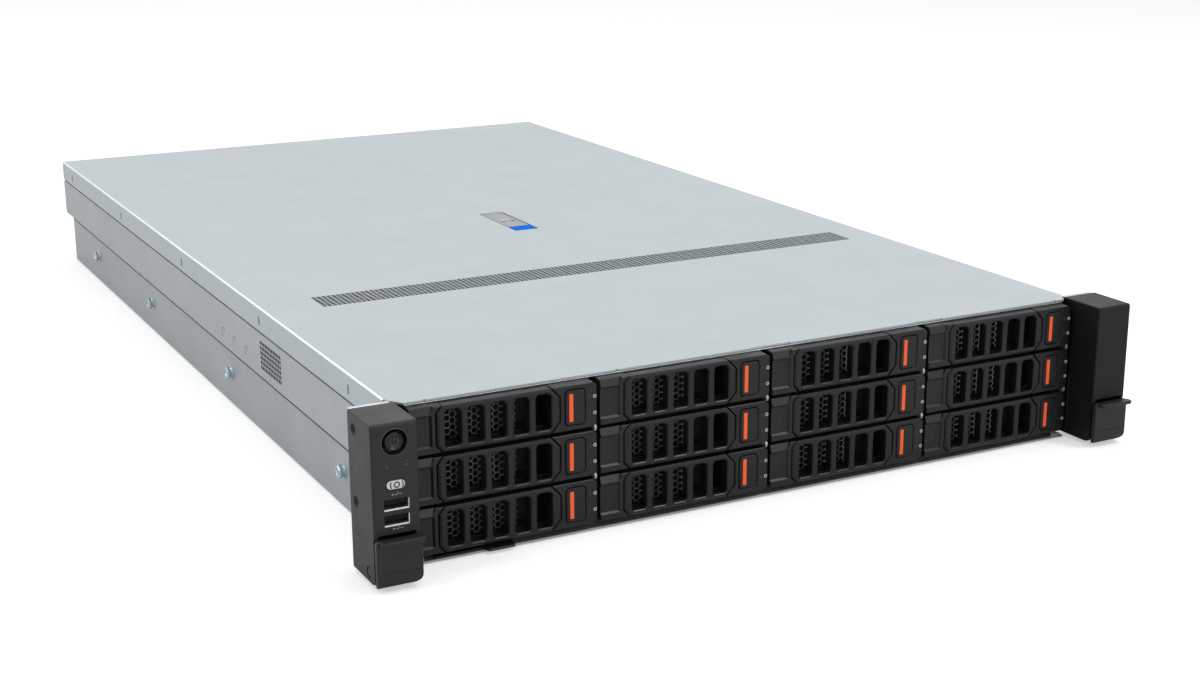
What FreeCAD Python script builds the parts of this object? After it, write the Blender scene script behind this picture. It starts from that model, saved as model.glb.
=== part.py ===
"""Rack server, two units high, with twelve front drive bays.

Frame: millimetres, +X to the right and +Y to the rear as seen from the front, +Z up.
Origin: middle of the chassis width, on its underside, in the plane where the ears meet the rack posts.
"""
import FreeCAD, Part
import os
import re
import Sketcher
from FreeCAD import Placement, Rotation, Vector

# ---------------------------------------------------------------- driving sizes
SIZES = [
    # whole machine
    ("chassis_depth", 756.0, "rack plane to the outside of the rear wall"),
    ("cage_side_gap", 0.1, "drive cage to each side wall"),
    ("rail_step", 5.3, "how far each side steps in below the rail line"),
    ("rail_line", 42.4, "height of the step in the side walls"),
    ("cover_top", 86.0, "outside of the cover above the chassis underside"),
    ("sheet", 1.0, "chassis sheet"),
    ("cover_sheet", 1.0, "cover sheet"),
    ("running_gap", 0.3, "gap between pieces that slide past each other"),
    ("floor_front", 10.0, "how far the floor sheet runs ahead of the rack plane"),
    # cover
    ("cover_front", 5.0, "cover's front edge ahead of the rack plane"),
    ("lip_height", 15.3, "cover's side lips, from the cover top down"),
    ("corner_cut_x", 7.2, "cover's front corner cut, across"),
    ("corner_cut_y", 10.5, "cover's front corner cut, along"),
    ("cover_latch_x", 13.0, "middle of the cover latch"),
    ("cover_latch_y", 357.0, "middle of the cover latch"),
    ("cover_latch_width", 17.4, "handle plate across"),
    ("cover_latch_length", 63.0, "handle plate along"),
    ("cover_latch_thick", 2.4, "handle plate"),
    ("latch_dish_depth", 9.0, "dish under the handle"),
    ("latch_dish_wall", 0.8, "dish sheet"),
    ("latch_pin_radius", 1.0, "handle pivot pin"),
    ("latch_pin_inset", 3.0, "handle pivot pin ahead of the dish's rear end"),
    ("latch_pin_drop", 2.2, "handle pivot pin below the cover's top"),
    ("latch_eye_wall", 1.2, "handle's eye round the pivot pin"),
    ("latch_end_gap", 1.0, "handle plate short of the dish's rear end"),
    # drive bays
    ("drive_side_room", 2.725, "bay line to the side of the drive"),
    ("bay_pitch_z", 27.0, "one bay up"),
    ("bay_floor", 3.9, "underside of the lowest bay"),
    ("cage_depth", 164.0, "rack plane to the back of the drive cage"),
    ("cage_front", 1.5, "front of the cage behind the rack plane"),
    ("shelf_sheet", 0.6, "cage shelves"),
    ("divider_sheet", 0.8, "cage dividers"),
    ("cage_side_sheet", 0.7, "cage side plates"),
    # carriers
    ("bezel_left", 1.5, "bezel's left edge from the bay line"),
    ("bezel_right", 0.75, "bezel's right edge to the next bay line"),
    ("bezel_height", 24.9, "carrier bezel up"),
    ("bezel_face", 12.0, "carrier bezel face ahead of the rack plane"),
    ("bezel_back", 1.0, "carrier bezel back behind the rack plane"),
    ("bezel_lift", 1.0, "bezel underside above the bay floor"),
    ("drive_width", 101.6, "3.5-inch drive"),
    ("drive_height", 26.1, "3.5-inch drive"),
    ("drive_length", 147.0, "3.5-inch drive"),
    ("drive_front", 11.0, "drive front behind the rack plane"),
    ("drive_lift", 0.15, "drive underside above the bay floor"),
    ("rail_thick", 1.9, "carrier side rails"),
    ("rail_height", 11.0, "carrier side rails"),
    ("rail_end", 159.6, "carrier rails' rear end behind the rack plane"),
    ("rear_bar", 1.2, "cross bar behind the drive"),
    ("rear_bar_height", 2.0, "cross bar behind the drive"),
    ("pad_recess_margin", 2.0, "grip pad to the lever's groove"),
    ("pad_recess_depth", 1.0, "grip pad's recess"),
    ("pad_recess_top", 4.4, "bevelled band above the grip pad"),
    ("pad_recess_bottom", 3.6, "band below the grip pad"),
    # carrier lever
    ("lever_left", 15.7, "lever's hinge end from the bay line"),
    ("lever_button_gap", 3.3, "lever's free end to the release button"),
    ("lever_proud", 0.6, "lever face ahead of the bezel face"),
    ("lever_thick", 6.0, "lever plate"),
    ("lever_slack", 0.1, "lever shorter than the bezel, top and bottom"),
    ("lever_gap", 0.6, "groove round the lever"),
    ("lever_cut_left_x", 3.4, "corner cut at the hinge end, across"),
    ("lever_cut_left_z", 4.0, "corner cut at the hinge end, up"),
    ("lever_cut_right_x", 5.4, "corner cut at the free end, across"),
    ("lever_cut_right_z", 6.0, "corner cut at the free end, up"),
    ("lever_pin_inset", 1.5, "pivot from the lever's hinge end"),
    ("lever_pin_depth", 1.4, "pivot behind the lever face"),
    ("lever_pin_radius", 0.7, "pivot pin"),
    ("lever_edge_cut", 0.8, "lever's front edge at its hinge end"),
    ("pin_end_inset", 0.3, "pivot pin's ends inside the bezel"),
    ("pin_clearance", 0.05, "round a pivot pin"),
    ("window_inset", 4.4, "first window from the lever's hinge end"),
    ("window_margin", 4.9, "last window from the lever's free end"),
    ("window_bar", 3.65, "bar between two windows"),
    ("window_height", 19.6, "window"),
    ("window_count", 5, "windows in a lever"),
    ("duct_inset", 3.3, "air duct inside the lever's hinge end"),
    ("duct_margin", 3.6, "air duct inside the lever's free end"),
    ("duct_height", 18.4, "air duct through the bezel"),
    # release button
    ("button_inset", 7.95, "release button to the next bay line"),
    ("button_width", 11.2, "release button"),
    ("button_height", 19.0, "release button"),
    ("button_proud", 0.3, "release button ahead of the bezel face"),
    ("button_depth", 4.4, "release button"),
    ("button_travel", 1.8, "release button's stroke"),
    ("button_cut", 1.2, "release button's corner cuts"),
    ("button_gap", 0.35, "round the release button"),
    # ears
    ("ear_reach", 20.8, "ear's outer edge beyond the chassis side"),
    ("ear_lap", 3.6, "ear's inner edge inside the chassis side"),
    ("ear_front", 32.2, "ear front face ahead of the rack plane"),
    ("ear_bottom", 2.0, "ear underside"),
    ("ear_top", 86.2, "ear top"),
    ("ear_round", 3.0, "ear's rounded edge"),
    ("ear_wall", 2.2, "ear side walls round the screw well"),
    ("ear_back_wall", 4.0, "ear wall that the rack screw goes through"),
    ("ear_well_top", 28.4, "roof of the screw well"),
    ("ear_flange_depth", 12.0, "flange that joins the ear to the side wall"),
    ("ear_flange_edge", 2.0, "flange short of the floor and of the rail step"),
    ("rack_screw_inset", 8.75, "rack screw from the ear's outer edge"),
    ("rack_screw_height", 20.8, "rack screw above the chassis underside"),
    ("rack_screw_radius", 3.0, "M6 rack screw"),
    ("rack_screw_neck_radius", 2.4, "rack screw's neck in the ear"),
    ("rack_screw_reach", 12.0, "screw end behind the rack plane"),
    ("rack_screw_head_radius", 5.5, "captive screw head"),
    ("rack_screw_head", 6.0, "captive screw head"),
    ("screw_clearance", 0.4, "round the rack screw in the ear"),
    # ear latches
    ("latch_plate", 2.8, "latch front plate"),
    ("latch_plate_gap", 0.4, "latch plate ahead of the ear face"),
    ("latch_bottom", 2.4, "latch plate underside"),
    ("latch_top", 27.6, "latch plate top"),
    ("latch_edge", 0.3, "latch plate's edge below its chamfer"),
    ("latch_lip_reach", 4.4, "thumb lip ahead of the latch plate"),
    ("latch_lip_thick", 1.8, "thumb lip"),
    ("latch_pivot_depth", 9.0, "pivot behind the ear face"),
    ("latch_pivot_height", 7.6, "pivot above the chassis underside"),
    ("latch_arm", 1.6, "latch side arms"),
    ("latch_arm_gap", 0.3, "latch arms inside the ear walls"),
    ("latch_arm_half", 3.4, "latch arms' half height"),
    ("latch_corner", 4.5, "latch plate's lower corners"),
    ("pivot_radius", 1.5, "ear latch pivot pin"),
    # left ear controls
    ("power_x", 12.4, "power button from the ear's outer edge"),
    ("power_z", 76.3, "power button height"),
    ("power_radius", 4.9, "power button cap"),
    ("power_gap", 0.3, "round the power button cap"),
    ("power_cap", 4.4, "power button cap"),
    ("power_sunk", 0.3, "power button cap behind the ear face"),
    ("power_rear_gap", 0.3, "behind the power button cap when it is pressed"),
    ("power_travel", 1.5, "power button's stroke"),
    ("locator_z", 54.4, "locator button height"),
    ("locator_width", 10.2, "locator button"),
    ("locator_height", 4.4, "locator button"),
    ("locator_proud", 0.2, "locator button ahead of the ear face"),
    ("locator_depth", 4.0, "locator button"),
    ("locator_travel", 1.0, "locator button's stroke"),
    ("port_z_upper", 44.3, "upper USB port"),
    ("port_z_lower", 36.1, "lower USB port"),
    ("port_width", 13.6, "USB port shell"),
    ("port_height", 6.0, "USB port shell"),
    ("port_sheet", 0.4, "USB port shell"),
    ("port_depth", 14.0, "USB port shell"),
    ("tongue_height", 1.8, "USB port tongue"),
    # rail studs
    ("stud_height", 22.0, "rail studs above the chassis underside"),
    ("stud_first", 83.0, "foremost rail stud behind the rack plane"),
    ("stud_second", 293.0, "second rail stud"),
    ("stud_third", 492.0, "third rail stud"),
    ("stud_fourth", 664.0, "rearmost rail stud"),
    ("stud_neck_radius", 3.0, "stud neck that a rail slot grips"),
    ("stud_neck", 3.0, "stud neck"),
    ("stud_head_flats", 8.0, "hexagonal stud head"),
    ("stud_head", 2.6, "hexagonal stud head"),
    # information tab
    ("tab_inset", 14.2, "pull-out tab from the left wall"),
    ("tab_width", 44.0, "pull-out tab"),
    ("tab_thick", 1.2, "pull-out tab"),
    ("tab_floor_gap", 0.3, "pull-out tab above the floor sheet"),
    ("tab_front", 19.0, "pull-out tab ahead of the rack plane"),
    ("tab_length", 74.0, "pull-out tab"),
    # backplane
    ("backplane_thick", 2.0, "drive backplane board"),
    ("drive_socket_width", 42.0, "drive socket"),
    ("drive_socket_height", 6.0, "drive socket"),
    ("drive_socket_left", 12.0, "drive socket from the bay line"),
    ("drive_socket_lift", 3.0, "drive socket above the bay floor"),
    ("air_slot_width", 60.0, "air slot in the backplane"),
    ("air_slot_height", 8.0, "air slot in the backplane"),
    # fans
    ("fan_count", 4, "fans in the fan row"),
    ("fan_side_gap", 18.2, "outer fans from the side walls"),
    ("fan_size", 80.0, "fan frame"),
    ("fan_depth", 38.0, "fan frame"),
    ("fan_gap", 50.0, "fan row behind the drive cage"),
    ("fan_bore_radius", 38.4, "air way through a fan frame"),
    ("fan_corner", 5.0, "fan frame's corner cuts"),
    ("fan_hub_radius", 16.0, "fan hub"),
    ("fan_hub_length", 24.0, "fan rotor hub"),
    ("fan_motor_depth", 8.0, "motor mount behind the rotor"),
    ("fan_strut", 4.0, "struts that carry the motor mount"),
    ("fan_tip_gap", 0.9, "blade tip to the frame"),
    ("fan_blade_count", 5, "fan blades"),
    ("fan_blade_thick", 1.4, "fan blades"),
    ("fan_blade_angle", 38.0, "blade pitch, degrees from the fan plane"),
    ("fan_blade_chord", 25.0, "fan blades"),
    # system board
    ("board_gap", 16.0, "system board behind the fan row"),
    ("board_step_gap", 8.6, "board's step ahead of the power supply bay"),
    ("board_rear_gap", 4.0, "system board to the rear wall"),
    ("board_side_gap", 1.2, "system board to the side walls"),
    ("board_lift", 6.0, "system board's underside above the chassis underside"),
    ("board_thick", 1.6, "system board"),
    ("standoff_radius", 3.0, "board standoffs"),
    ("standoff_inset", 12.0, "standoffs in from the board's edges"),
    ("processor_gap", 104.0, "processors behind the board's front edge"),
    ("bank_inset", 60.0, "middle of each outer memory bank from the board's side"),
    ("bank_gap", 38.0, "processor socket to the middle of its outer memory bank"),
    ("middle_bank_margin", 12.0, "processor sockets to the memory bank between them"),
    ("socket_size", 80.0, "processor socket frame"),
    ("socket_height", 7.0, "processor socket frame"),
    ("heatsink_width", 78.0, "heatsink"),
    ("heatsink_length", 108.0, "heatsink"),
    ("heatsink_top", 70.0, "heatsink top above the chassis underside"),
    ("heatsink_base", 6.0, "heatsink base"),
    ("fin_thick", 1.6, "heatsink fins"),
    ("fin_count", 11, "heatsink fins"),
    ("module_length", 133.35, "memory module"),
    ("module_height", 31.25, "memory module"),
    ("module_thick", 3.0, "memory module with its chips"),
    ("module_pitch", 7.6, "memory module to memory module"),
    ("module_socket_height", 6.0, "memory socket"),
    ("module_socket_width", 6.4, "memory socket"),
    ("module_socket_extra", 5.0, "memory socket beyond each end of its module"),
    # rear wall
    ("slot_pitch", 20.32, "expansion slot to expansion slot"),
    ("slot_height", 13.0, "opening of an expansion slot"),
    ("slot_floor", 24.6, "lowest expansion slot above the chassis underside"),
    ("slot_length", 104.0, "full-height expansion slot"),
    ("riser_side_gap", 37.3, "last riser bay to the side wall"),
    ("slot_cover_lap", 2.4, "slot cover beyond its opening"),
    ("slot_cover_sheet", 0.8, "slot covers"),
    ("riser_gap", 12.0, "riser bay to riser bay"),
    ("io_height", 13.0, "rear ports above the board"),
    ("io_depth", 18.0, "rear ports, along"),
    ("io_proud", 0.6, "rear ports behind the rear wall"),
    ("io_gap", 0.2, "round a rear port"),
    ("network_port_width", 15.6, "network and service ports"),
    ("display_port_width", 30.8, "display port"),
    ("usb_port_width", 13.4, "stacked USB ports"),
    ("port_inset", 4.0, "first network port past the first riser bay's edge"),
    ("port_pitch", 20.0, "left edge to left edge of two like ports"),
    ("display_port_inset", 50.0, "display port past the first riser bay's edge"),
    ("usb_port_lead", 14.0, "first USB port ahead of the second riser bay's edge"),
    ("service_port_inset", 30.0, "service port past the second riser bay's edge"),
    # power supplies
    ("supply_width", 73.5, "power supply"),
    ("supply_height", 39.0, "power supply"),
    ("supply_length", 185.0, "power supply"),
    ("supply_lift", 0.4, "power supply above what it rests on"),
    ("supply_shelf", 0.8, "shelf between the power supplies"),
    ("supply_proud", 1.6, "power supply face behind the rear wall"),
    ("supply_stop", 8.0, "shelf and wall beyond the power supply's front end"),
    ("handle_reach", 24.0, "power supply handle"),
    ("handle_bar", 5.0, "power supply handle"),
    ("handle_left", 4.0, "mains inlet from the edge, and the handle from the inlet"),
    ("supply_tab_width", 3.0, "power supply release tab"),
    ("supply_tab_height", 16.0, "power supply release tab"),
    ("supply_tab_reach", 13.0, "power supply release tab"),
    ("supply_tab_inset", 1.0, "release tab from the supply's edge"),
    ("supply_tab_lift", 2.0, "release tab above the supply's underside"),
    ("supply_tab_travel", 3.0, "release tab's stroke"),
    ("inlet_width", 27.4, "mains inlet"),
    ("inlet_height", 20.0, "mains inlet"),
    ("inlet_depth", 14.0, "mains inlet"),
]

# sizes that follow from the driving ones
DERIVED = {
    "bay_pitch_x": "drive_width + 2 * drive_side_room",
    "cage_half": "2 * bay_pitch_x",
    "inner_half": "cage_half + cage_side_gap",
    "lower_half": "inner_half + sheet",
    "upper_half": "lower_half + rail_step",
    "neck_half": "upper_half - cover_sheet - running_gap",
    "ear_edge": "upper_half + ear_reach",
    "ear_width": "ear_reach + ear_lap",
    "rack_screw_x": "ear_edge - rack_screw_inset",
    "cover_under": "cover_top - cover_sheet",
    "wall_top": "cover_top - cover_sheet - 0.2",
    "lip_bottom": "cover_top - lip_height",
    "shoulder": "cover_top - lip_height - running_gap",
    "bezel_width": "bay_pitch_x - bezel_left - bezel_right",
    "button_left": "bay_pitch_x - button_inset - button_width",
    "lever_right": "button_left - lever_button_gap",
    "pad_recess_edge": "lever_left - lever_gap - pad_recess_margin",
    "window_first": "lever_left + window_inset",
    "window_pitch": "(lever_right - window_margin - window_first + window_bar) / window_count",
    "window_width": "window_pitch - window_bar",
    "duct_left": "lever_left + duct_inset",
    "duct_right": "lever_right - duct_margin",
    "lever_bottom": "bezel_lift + lever_slack",
    "lever_top": "bezel_lift + bezel_height - lever_slack",
    "lever_face": "bezel_face + lever_proud",
    "pocket_back": "bezel_face + lever_proud - lever_thick - lever_gap",
    "window_bottom": "bezel_lift + (bezel_height - window_height) / 2",
    "duct_bottom": "bezel_lift + (bezel_height - duct_height) / 2",
    "button_bottom": "bezel_lift + (bezel_height - button_height) / 2",
    "pivot_x": "lever_left + lever_pin_inset",
    "pivot_y": "lever_pin_depth - lever_face",
    "rail_outer": "(bay_pitch_x - drive_width) / 2 - rail_thick",
    "latch_back": "ear_front + latch_plate_gap",
    "latch_face": "ear_front + latch_plate_gap + latch_plate",
    "latch_pivot_y": "latch_pivot_depth - ear_front",
    "power_axis_x": "power_x - ear_edge",
    "power_well": "power_sunk + power_cap + power_travel + power_rear_gap",
    "locator_well": "locator_depth - locator_proud + locator_travel + power_rear_gap",
    "backplane_front": "cage_depth + running_gap",
    "tab_left": "tab_inset - inner_half",
    "fan_front": "cage_depth + fan_gap",
    "fan_pitch": "(2 * (inner_half - fan_side_gap) - fan_size) / (fan_count - 1)",
    "fan_middle_z": "sheet + running_gap + fan_size / 2",
    "rotor_front": "fan_front + fan_depth - fan_motor_depth - running_gap - fan_hub_length",
    "board_top": "board_lift + board_thick",
    "board_half": "inner_half - board_side_gap",
    "board_front": "fan_front + fan_depth + board_gap",
    "board_step": "supply_front - board_step_gap",
    "bank_middle": "board_half - bank_inset",
    "processor_x": "bank_middle - bank_gap - socket_size / 2",
    "middle_bank_room": "2 * (processor_x - socket_size / 2 - middle_bank_margin)",
    "processor_y": "board_front + processor_gap",
    "board_left_rear": "supply_divider_x + board_side_gap",
    "board_rear": "chassis_depth - sheet - board_rear_gap",
    "supply_left": "-inner_half + running_gap",
    "supply_divider_x": "supply_left + supply_width + running_gap + sheet",
    "supply_face": "chassis_depth + supply_proud",
    "supply_front": "supply_face - supply_length - supply_stop",
    "supply_tab_left": "supply_left + supply_width - supply_tab_width - supply_tab_inset",
    "handle_start": "supply_left + inlet_width + 2 * handle_left",
    "handle_end": "supply_tab_left - supply_tab_travel - running_gap",
    "supply_lower_z": "sheet + supply_lift",
    "supply_shelf_z": "sheet + 2 * supply_lift + supply_height",
    "supply_upper_z": "sheet + 3 * supply_lift + supply_height + supply_shelf",
    "dish_half": "cover_latch_width / 2 + running_gap",
    "latch_rear": "cover_latch_y + cover_latch_length / 2",
    "latch_fore": "cover_latch_y - cover_latch_length / 2",
    "latch_pin_y": "latch_rear - latch_pin_inset",
    "latch_pin_z": "cover_top - latch_pin_drop",
    "riser_one_x": "supply_divider_x + riser_gap",
    "riser_two_x": "riser_one_x + slot_length + riser_gap",
    "riser_three_x": "riser_two_x + slot_length + riser_gap",
    "slot_length_short": "inner_half - riser_side_gap - riser_three_x",
}

COLUMNS = 4
ROWS = 3

doc = FreeCAD.newDocument("rack_server")
sheet = doc.addObject("Spreadsheet::Sheet", "Sizes")
for row, (alias, number, note) in enumerate(SIZES, start=1):
    sheet.set("A%d" % row, alias)
    sheet.set("B%d" % row, str(number))
    sheet.set("C%d" % row, note)
    sheet.setAlias("B%d" % row, alias)
doc.recompute()

ALIASES = {alias for alias, number, note in SIZES}
nodes = []


# ---------------------------------------------------------------- helpers
def bound(text):
    """Spell out an expression over the sheet: size names get their sheet, derived names their formula."""
    def spell(match):
        word = match.group(0)
        if word in ALIASES:
            return "Sizes." + word
        if word in DERIVED:
            return "(" + bound(DERIVED[word]) + ")"
        return word
    return re.sub(r"[a-z][a-z_]+", spell, str(text))


def value(text):
    """The number that an expression over the sheet gives now."""
    return float(sheet.evalExpression(bound(text)))


def place(thing, x="0", y="0", z="0", rotation=None):
    """Put an object at a point given by expressions, turned by a fixed rotation."""
    if rotation is not None:
        thing.Placement = Placement(Vector(0, 0, 0), rotation)
    for axis, text in (("x", x), ("y", y), ("z", z)):
        thing.setExpression("Placement.Base." + axis, bound(text))
    return thing


def box(name, x, y, z):
    """A block between two expressions along each axis."""
    block = doc.addObject("Part::Box", name)
    for side, (low, high) in (("Length", x), ("Width", y), ("Height", z)):
        block.setExpression(side, bound("(%s) - (%s)" % (high, low)))
    return place(block, x[0], y[0], z[0])


TURNS = {"X": Rotation(Vector(0, 1, 0), 90), "Y": Rotation(Vector(1, 0, 0), -90), "Z": Rotation()}


def rod(name, radius, length, start, axis):
    """A cylinder from a start point along an axis."""
    cylinder = doc.addObject("Part::Cylinder", name)
    cylinder.setExpression("Radius", bound(radius))
    cylinder.setExpression("Height", bound(length))
    return place(cylinder, *start, rotation=TURNS[axis])


def prism(name, sides, radius, length, start, axis):
    """A bar with flat sides, its corners on a circle of the radius, from a start point along an axis."""
    bar = doc.addObject("Part::Prism", name)
    bar.Polygon = sides
    bar.setExpression("Circumradius", bound(radius))
    bar.setExpression("Height", bound(length))
    return place(bar, *start, rotation=TURNS[axis])


def fuse(name, shapes):
    joined = doc.addObject("Part::MultiFuse", name)
    joined.Shapes = shapes
    joined.Refine = True
    return joined


def cut(name, base, tools):
    """The base less every tool."""
    tool = tools[0] if len(tools) == 1 else fuse(name + "_tools", tools)
    result = doc.addObject("Part::Cut", name)
    result.Base = base
    result.Tool = tool
    result.Refine = True
    return result


def group(name, shapes):
    """Separate solids that belong to one sub-part."""
    together = doc.addObject("Part::Compound", name)
    together.Links = shapes
    return together


def copy_of(name, master, x="0", y="0", z="0"):
    return place(group(name, [master]), x, y, z)


def node(label, thing):
    """Name a finished sub-part and list it for export."""
    thing.Label = label
    nodes.append(thing)
    return thing


def draw(body, name, plane, outlines):
    """A sketch of closed outlines on one of the body's origin planes, every corner bound to the sheet."""
    sketch = body.newObject("Sketcher::SketchObject", name)
    origin = [feature for feature in body.Origin.OriginFeatures if feature.Role == plane][0]
    sketch.AttachmentSupport = [(origin, "")]
    sketch.MapMode = "FlatFace"
    for outline in outlines:
        corners = [Vector(value(across), value(up), 0) for across, up in outline]
        first = sketch.GeometryCount
        for index, corner in enumerate(corners):
            sketch.addGeometry(Part.LineSegment(corner, corners[(index + 1) % len(corners)]))
        for index in range(len(corners)):
            following = first + (index + 1) % len(corners)
            sketch.addConstraint(Sketcher.Constraint("Coincident", first + index, 2, following, 1))
        for index, (corner, texts) in enumerate(zip(corners, outline)):
            for kind, number, text in zip(("DistanceX", "DistanceY"), corner, texts):
                fixed = Sketcher.Constraint(kind, -1, 1, first + index, 1, number)
                sketch.setExpression("Constraints[%d]" % sketch.addConstraint(fixed), bound(text))
    return sketch


def padded(name, plane, outlines, length, x="0", y="0", z="0"):
    """A PartDesign body: outlines padded along the plane's positive axis, from a point."""
    body = doc.addObject("PartDesign::Body", name)
    sketch = draw(body, name + "_sketch", plane, outlines)
    pad = body.newObject("PartDesign::Pad", name + "_pad")
    pad.Profile = sketch
    pad.setExpression("Length", bound(length))
    pad.Reversed = plane == "XZ_Plane"
    sketch.Visibility = False
    return place(body, x, y, z)


def cut_corner_outline(left, right, bottom, top, cuts):
    """A rectangle, each corner cut by (across, up), from the lower left one round to the upper left."""
    (ax, az), (bx, bz), (cx, cz), (dx, dz) = cuts
    return [(f"{left} + {ax}", bottom), (f"{right} - {bx}", bottom), (right, f"{bottom} + {bz}"),
            (right, f"{top} - {cz}"), (f"{right} - {cx}", top), (f"{left} + {dx}", top),
            (left, f"{top} - {dz}"), (left, f"{bottom} + {az}")]


def edges_along(shape, axis, test):
    """Numbers of the straight edges that run along an axis and pass a test on their middle."""
    found = []
    for number, edge in enumerate(shape.Edges, start=1):
        if not isinstance(edge.Curve, Part.Line):
            continue
        if abs(abs(edge.Curve.Direction.dot(axis)) - 1) < 1e-6 and test(edge.CenterOfMass):
            found.append(number)
    return found


def edged(name, kind, base, size, axis, test=lambda middle: True):
    """The base with a fillet or chamfer on the edges along an axis that pass a test."""
    doc.recompute()
    dressed = doc.addObject(kind, name)
    dressed.Base = base
    amount = value(size)
    dressed.Edges = [(number, amount, amount) for number in edges_along(base.Shape, axis, test)]
    return dressed


X_AXIS, Y_AXIS, Z_AXIS = Vector(1, 0, 0), Vector(0, 1, 0), Vector(0, 0, 1)


# ---------------------------------------------------------------- chassis
def mirrored(points):
    """Right half of an outline, from the middle of its underside, closed by its mirror image."""
    return points + [("-(%s)" % across, up) for across, up in reversed(points)]


def chassis_tub():
    """One folded sheet: floor, stepped side walls and the neck behind the cover's lips."""
    half = [("lower_half", "0"), ("lower_half", "rail_line"), ("upper_half", "rail_line"),
            ("upper_half", "shoulder"), ("neck_half", "shoulder"), ("neck_half", "wall_top"),
            ("neck_half - sheet", "wall_top"), ("neck_half - sheet", "shoulder - sheet"),
            ("upper_half - sheet", "shoulder - sheet"), ("upper_half - sheet", "rail_line + sheet"),
            ("inner_half", "rail_line + sheet"), ("inner_half", "sheet")]
    folded = padded("tub_sheet", "XZ_Plane", [mirrored(half)], "chassis_depth + floor_front",
                    y="-floor_front")
    front = box("tub_front_space", ("-upper_half - 1", "upper_half + 1"), ("-floor_front - 1", "0"),
                ("sheet", "cover_top + 1"))
    tub = cut("tub_open", folded, [front])
    wall = box("supply_wall", ("supply_divider_x - sheet", "supply_divider_x"),
               ("supply_front", "chassis_depth - sheet"),
               ("sheet", "supply_upper_z + supply_height + supply_lift"))
    shelf = box("supply_shelf_sheet", ("-inner_half", "supply_divider_x - sheet"),
                ("supply_front", "chassis_depth - sheet"),
                ("supply_shelf_z", "supply_shelf_z + supply_shelf"))
    return node("chassis_tub", fuse("chassis_tub", [tub, wall, shelf]))


def rail_studs():
    """Studs pressed into the lower walls: a neck that a rail slot grips and a hexagonal head."""
    studs = []
    for side in ("left", "right"):
        for rank in ("first", "second", "third", "fourth"):
            name, y = "stud_%s_%s" % (side, rank), "stud_" + rank
            if side == "left":
                neck_start, head_start = "-(lower_half + stud_neck)", "-(lower_half + stud_neck + stud_head)"
            else:
                neck_start, head_start = "lower_half", "lower_half + stud_neck"
            neck = prism(name + "_neck", 8, "stud_neck_radius", "stud_neck",
                         (neck_start, y, "stud_height"), "X")
            head = prism(name + "_head", 6, "stud_head_flats / sqrt(3)", "stud_head",
                         (head_start, y, "stud_height"), "X")
            studs.append(fuse(name, [neck, head]))
    return studs


def expansion_slots():
    """Every expansion slot: its left edge, its underside and its length."""
    slots = []
    for left, length, count in (("riser_one_x", "slot_length", 3), ("riser_two_x", "slot_length", 3),
                                ("riser_three_x", "slot_length_short", 3)):
        for level in range(count):
            slots.append((left, "slot_floor + %d * slot_pitch" % level, length))
    return slots


REAR_PORTS = [("riser_one_x + port_inset", "network_port_width"),
              ("riser_one_x + port_inset + port_pitch", "network_port_width"),
              ("riser_one_x + display_port_inset", "display_port_width"),
              ("riser_two_x - usb_port_lead", "usb_port_width"),
              ("riser_two_x - usb_port_lead + port_pitch", "usb_port_width"),
              ("riser_two_x + service_port_inset", "network_port_width")]


def rear_panel():
    """Rear wall with its power supply bay, port cut-outs and covered expansion slots."""
    step = [("inner_half - 0.1", "sheet"), ("inner_half - 0.1", "rail_line + sheet + 0.1"),
            ("neck_half - sheet - 0.1", "rail_line + sheet + 0.1"), ("neck_half - sheet - 0.1", "wall_top")]
    wall = padded("rear_wall", "XZ_Plane", [mirrored(step)], "sheet", y="chassis_depth - sheet")
    through = ("chassis_depth - sheet - 1", "chassis_depth + 1")
    openings = [box("supply_opening",
                    ("supply_left - running_gap", "supply_left + supply_width + running_gap"),
                    through, ("sheet - 1", "supply_upper_z + supply_height + running_gap"))]
    covers = []
    for number, (left, bottom, length) in enumerate(expansion_slots(), start=1):
        right, top = f"{left} + {length}", f"{bottom} + slot_height"
        openings.append(box("slot_opening_%d" % number, (left, right), through, (bottom, top)))
        covers.append(box("slot_cover_%d" % number, (f"{left} - slot_cover_lap", f"{right} + slot_cover_lap"),
                          ("chassis_depth - sheet - slot_cover_sheet", "chassis_depth - sheet"),
                          (f"{bottom} - slot_cover_lap", f"{top} + slot_cover_lap")))
    for number, (left, width) in enumerate(REAR_PORTS, start=1):
        openings.append(box("port_opening_%d" % number, (f"{left} - io_gap", f"{left} + {width} + io_gap"),
                            through, ("board_top - io_gap", "board_top + io_height + io_gap")))
    return node("rear_panel", group("rear_panel", [cut("rear_wall_cut", wall, openings)] + covers))


# ---------------------------------------------------------------- drive cage
def bay_line(column):
    return "(%d * bay_pitch_x)" % (column - COLUMNS // 2)


def bay_bottom(row):
    return "(bay_floor + %d * bay_pitch_z)" % row


def drive_cage():
    """Side plates, dividers and shelves that make the bays."""
    depth = ("cage_front", "cage_depth")
    full = ("bay_floor - shelf_sheet", bay_bottom(ROWS))
    plates = [box("cage_side_left", ("-cage_half", "-cage_half + cage_side_sheet"), depth, full),
              box("cage_side_right", ("cage_half - cage_side_sheet", "cage_half"), depth, full)]
    for column in range(1, COLUMNS):
        line = bay_line(column)
        plates.append(box("cage_divider_%d" % column,
                          (line + " - divider_sheet / 2", line + " + divider_sheet / 2"), depth, full))
    for column in range(COLUMNS):
        left = "cage_side_sheet" if column == 0 else "divider_sheet / 2"
        right = "cage_side_sheet" if column == COLUMNS - 1 else "divider_sheet / 2"
        across = (f"{bay_line(column)} + {left}", f"{bay_line(column + 1)} - {right}")
        for level in range(ROWS + 1):
            plates.append(box("cage_shelf_%d_%d" % (column, level), across, depth,
                              (bay_bottom(level) + " - shelf_sheet", bay_bottom(level))))
    return node("drive_cage", group("drive_cage", plates))


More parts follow.
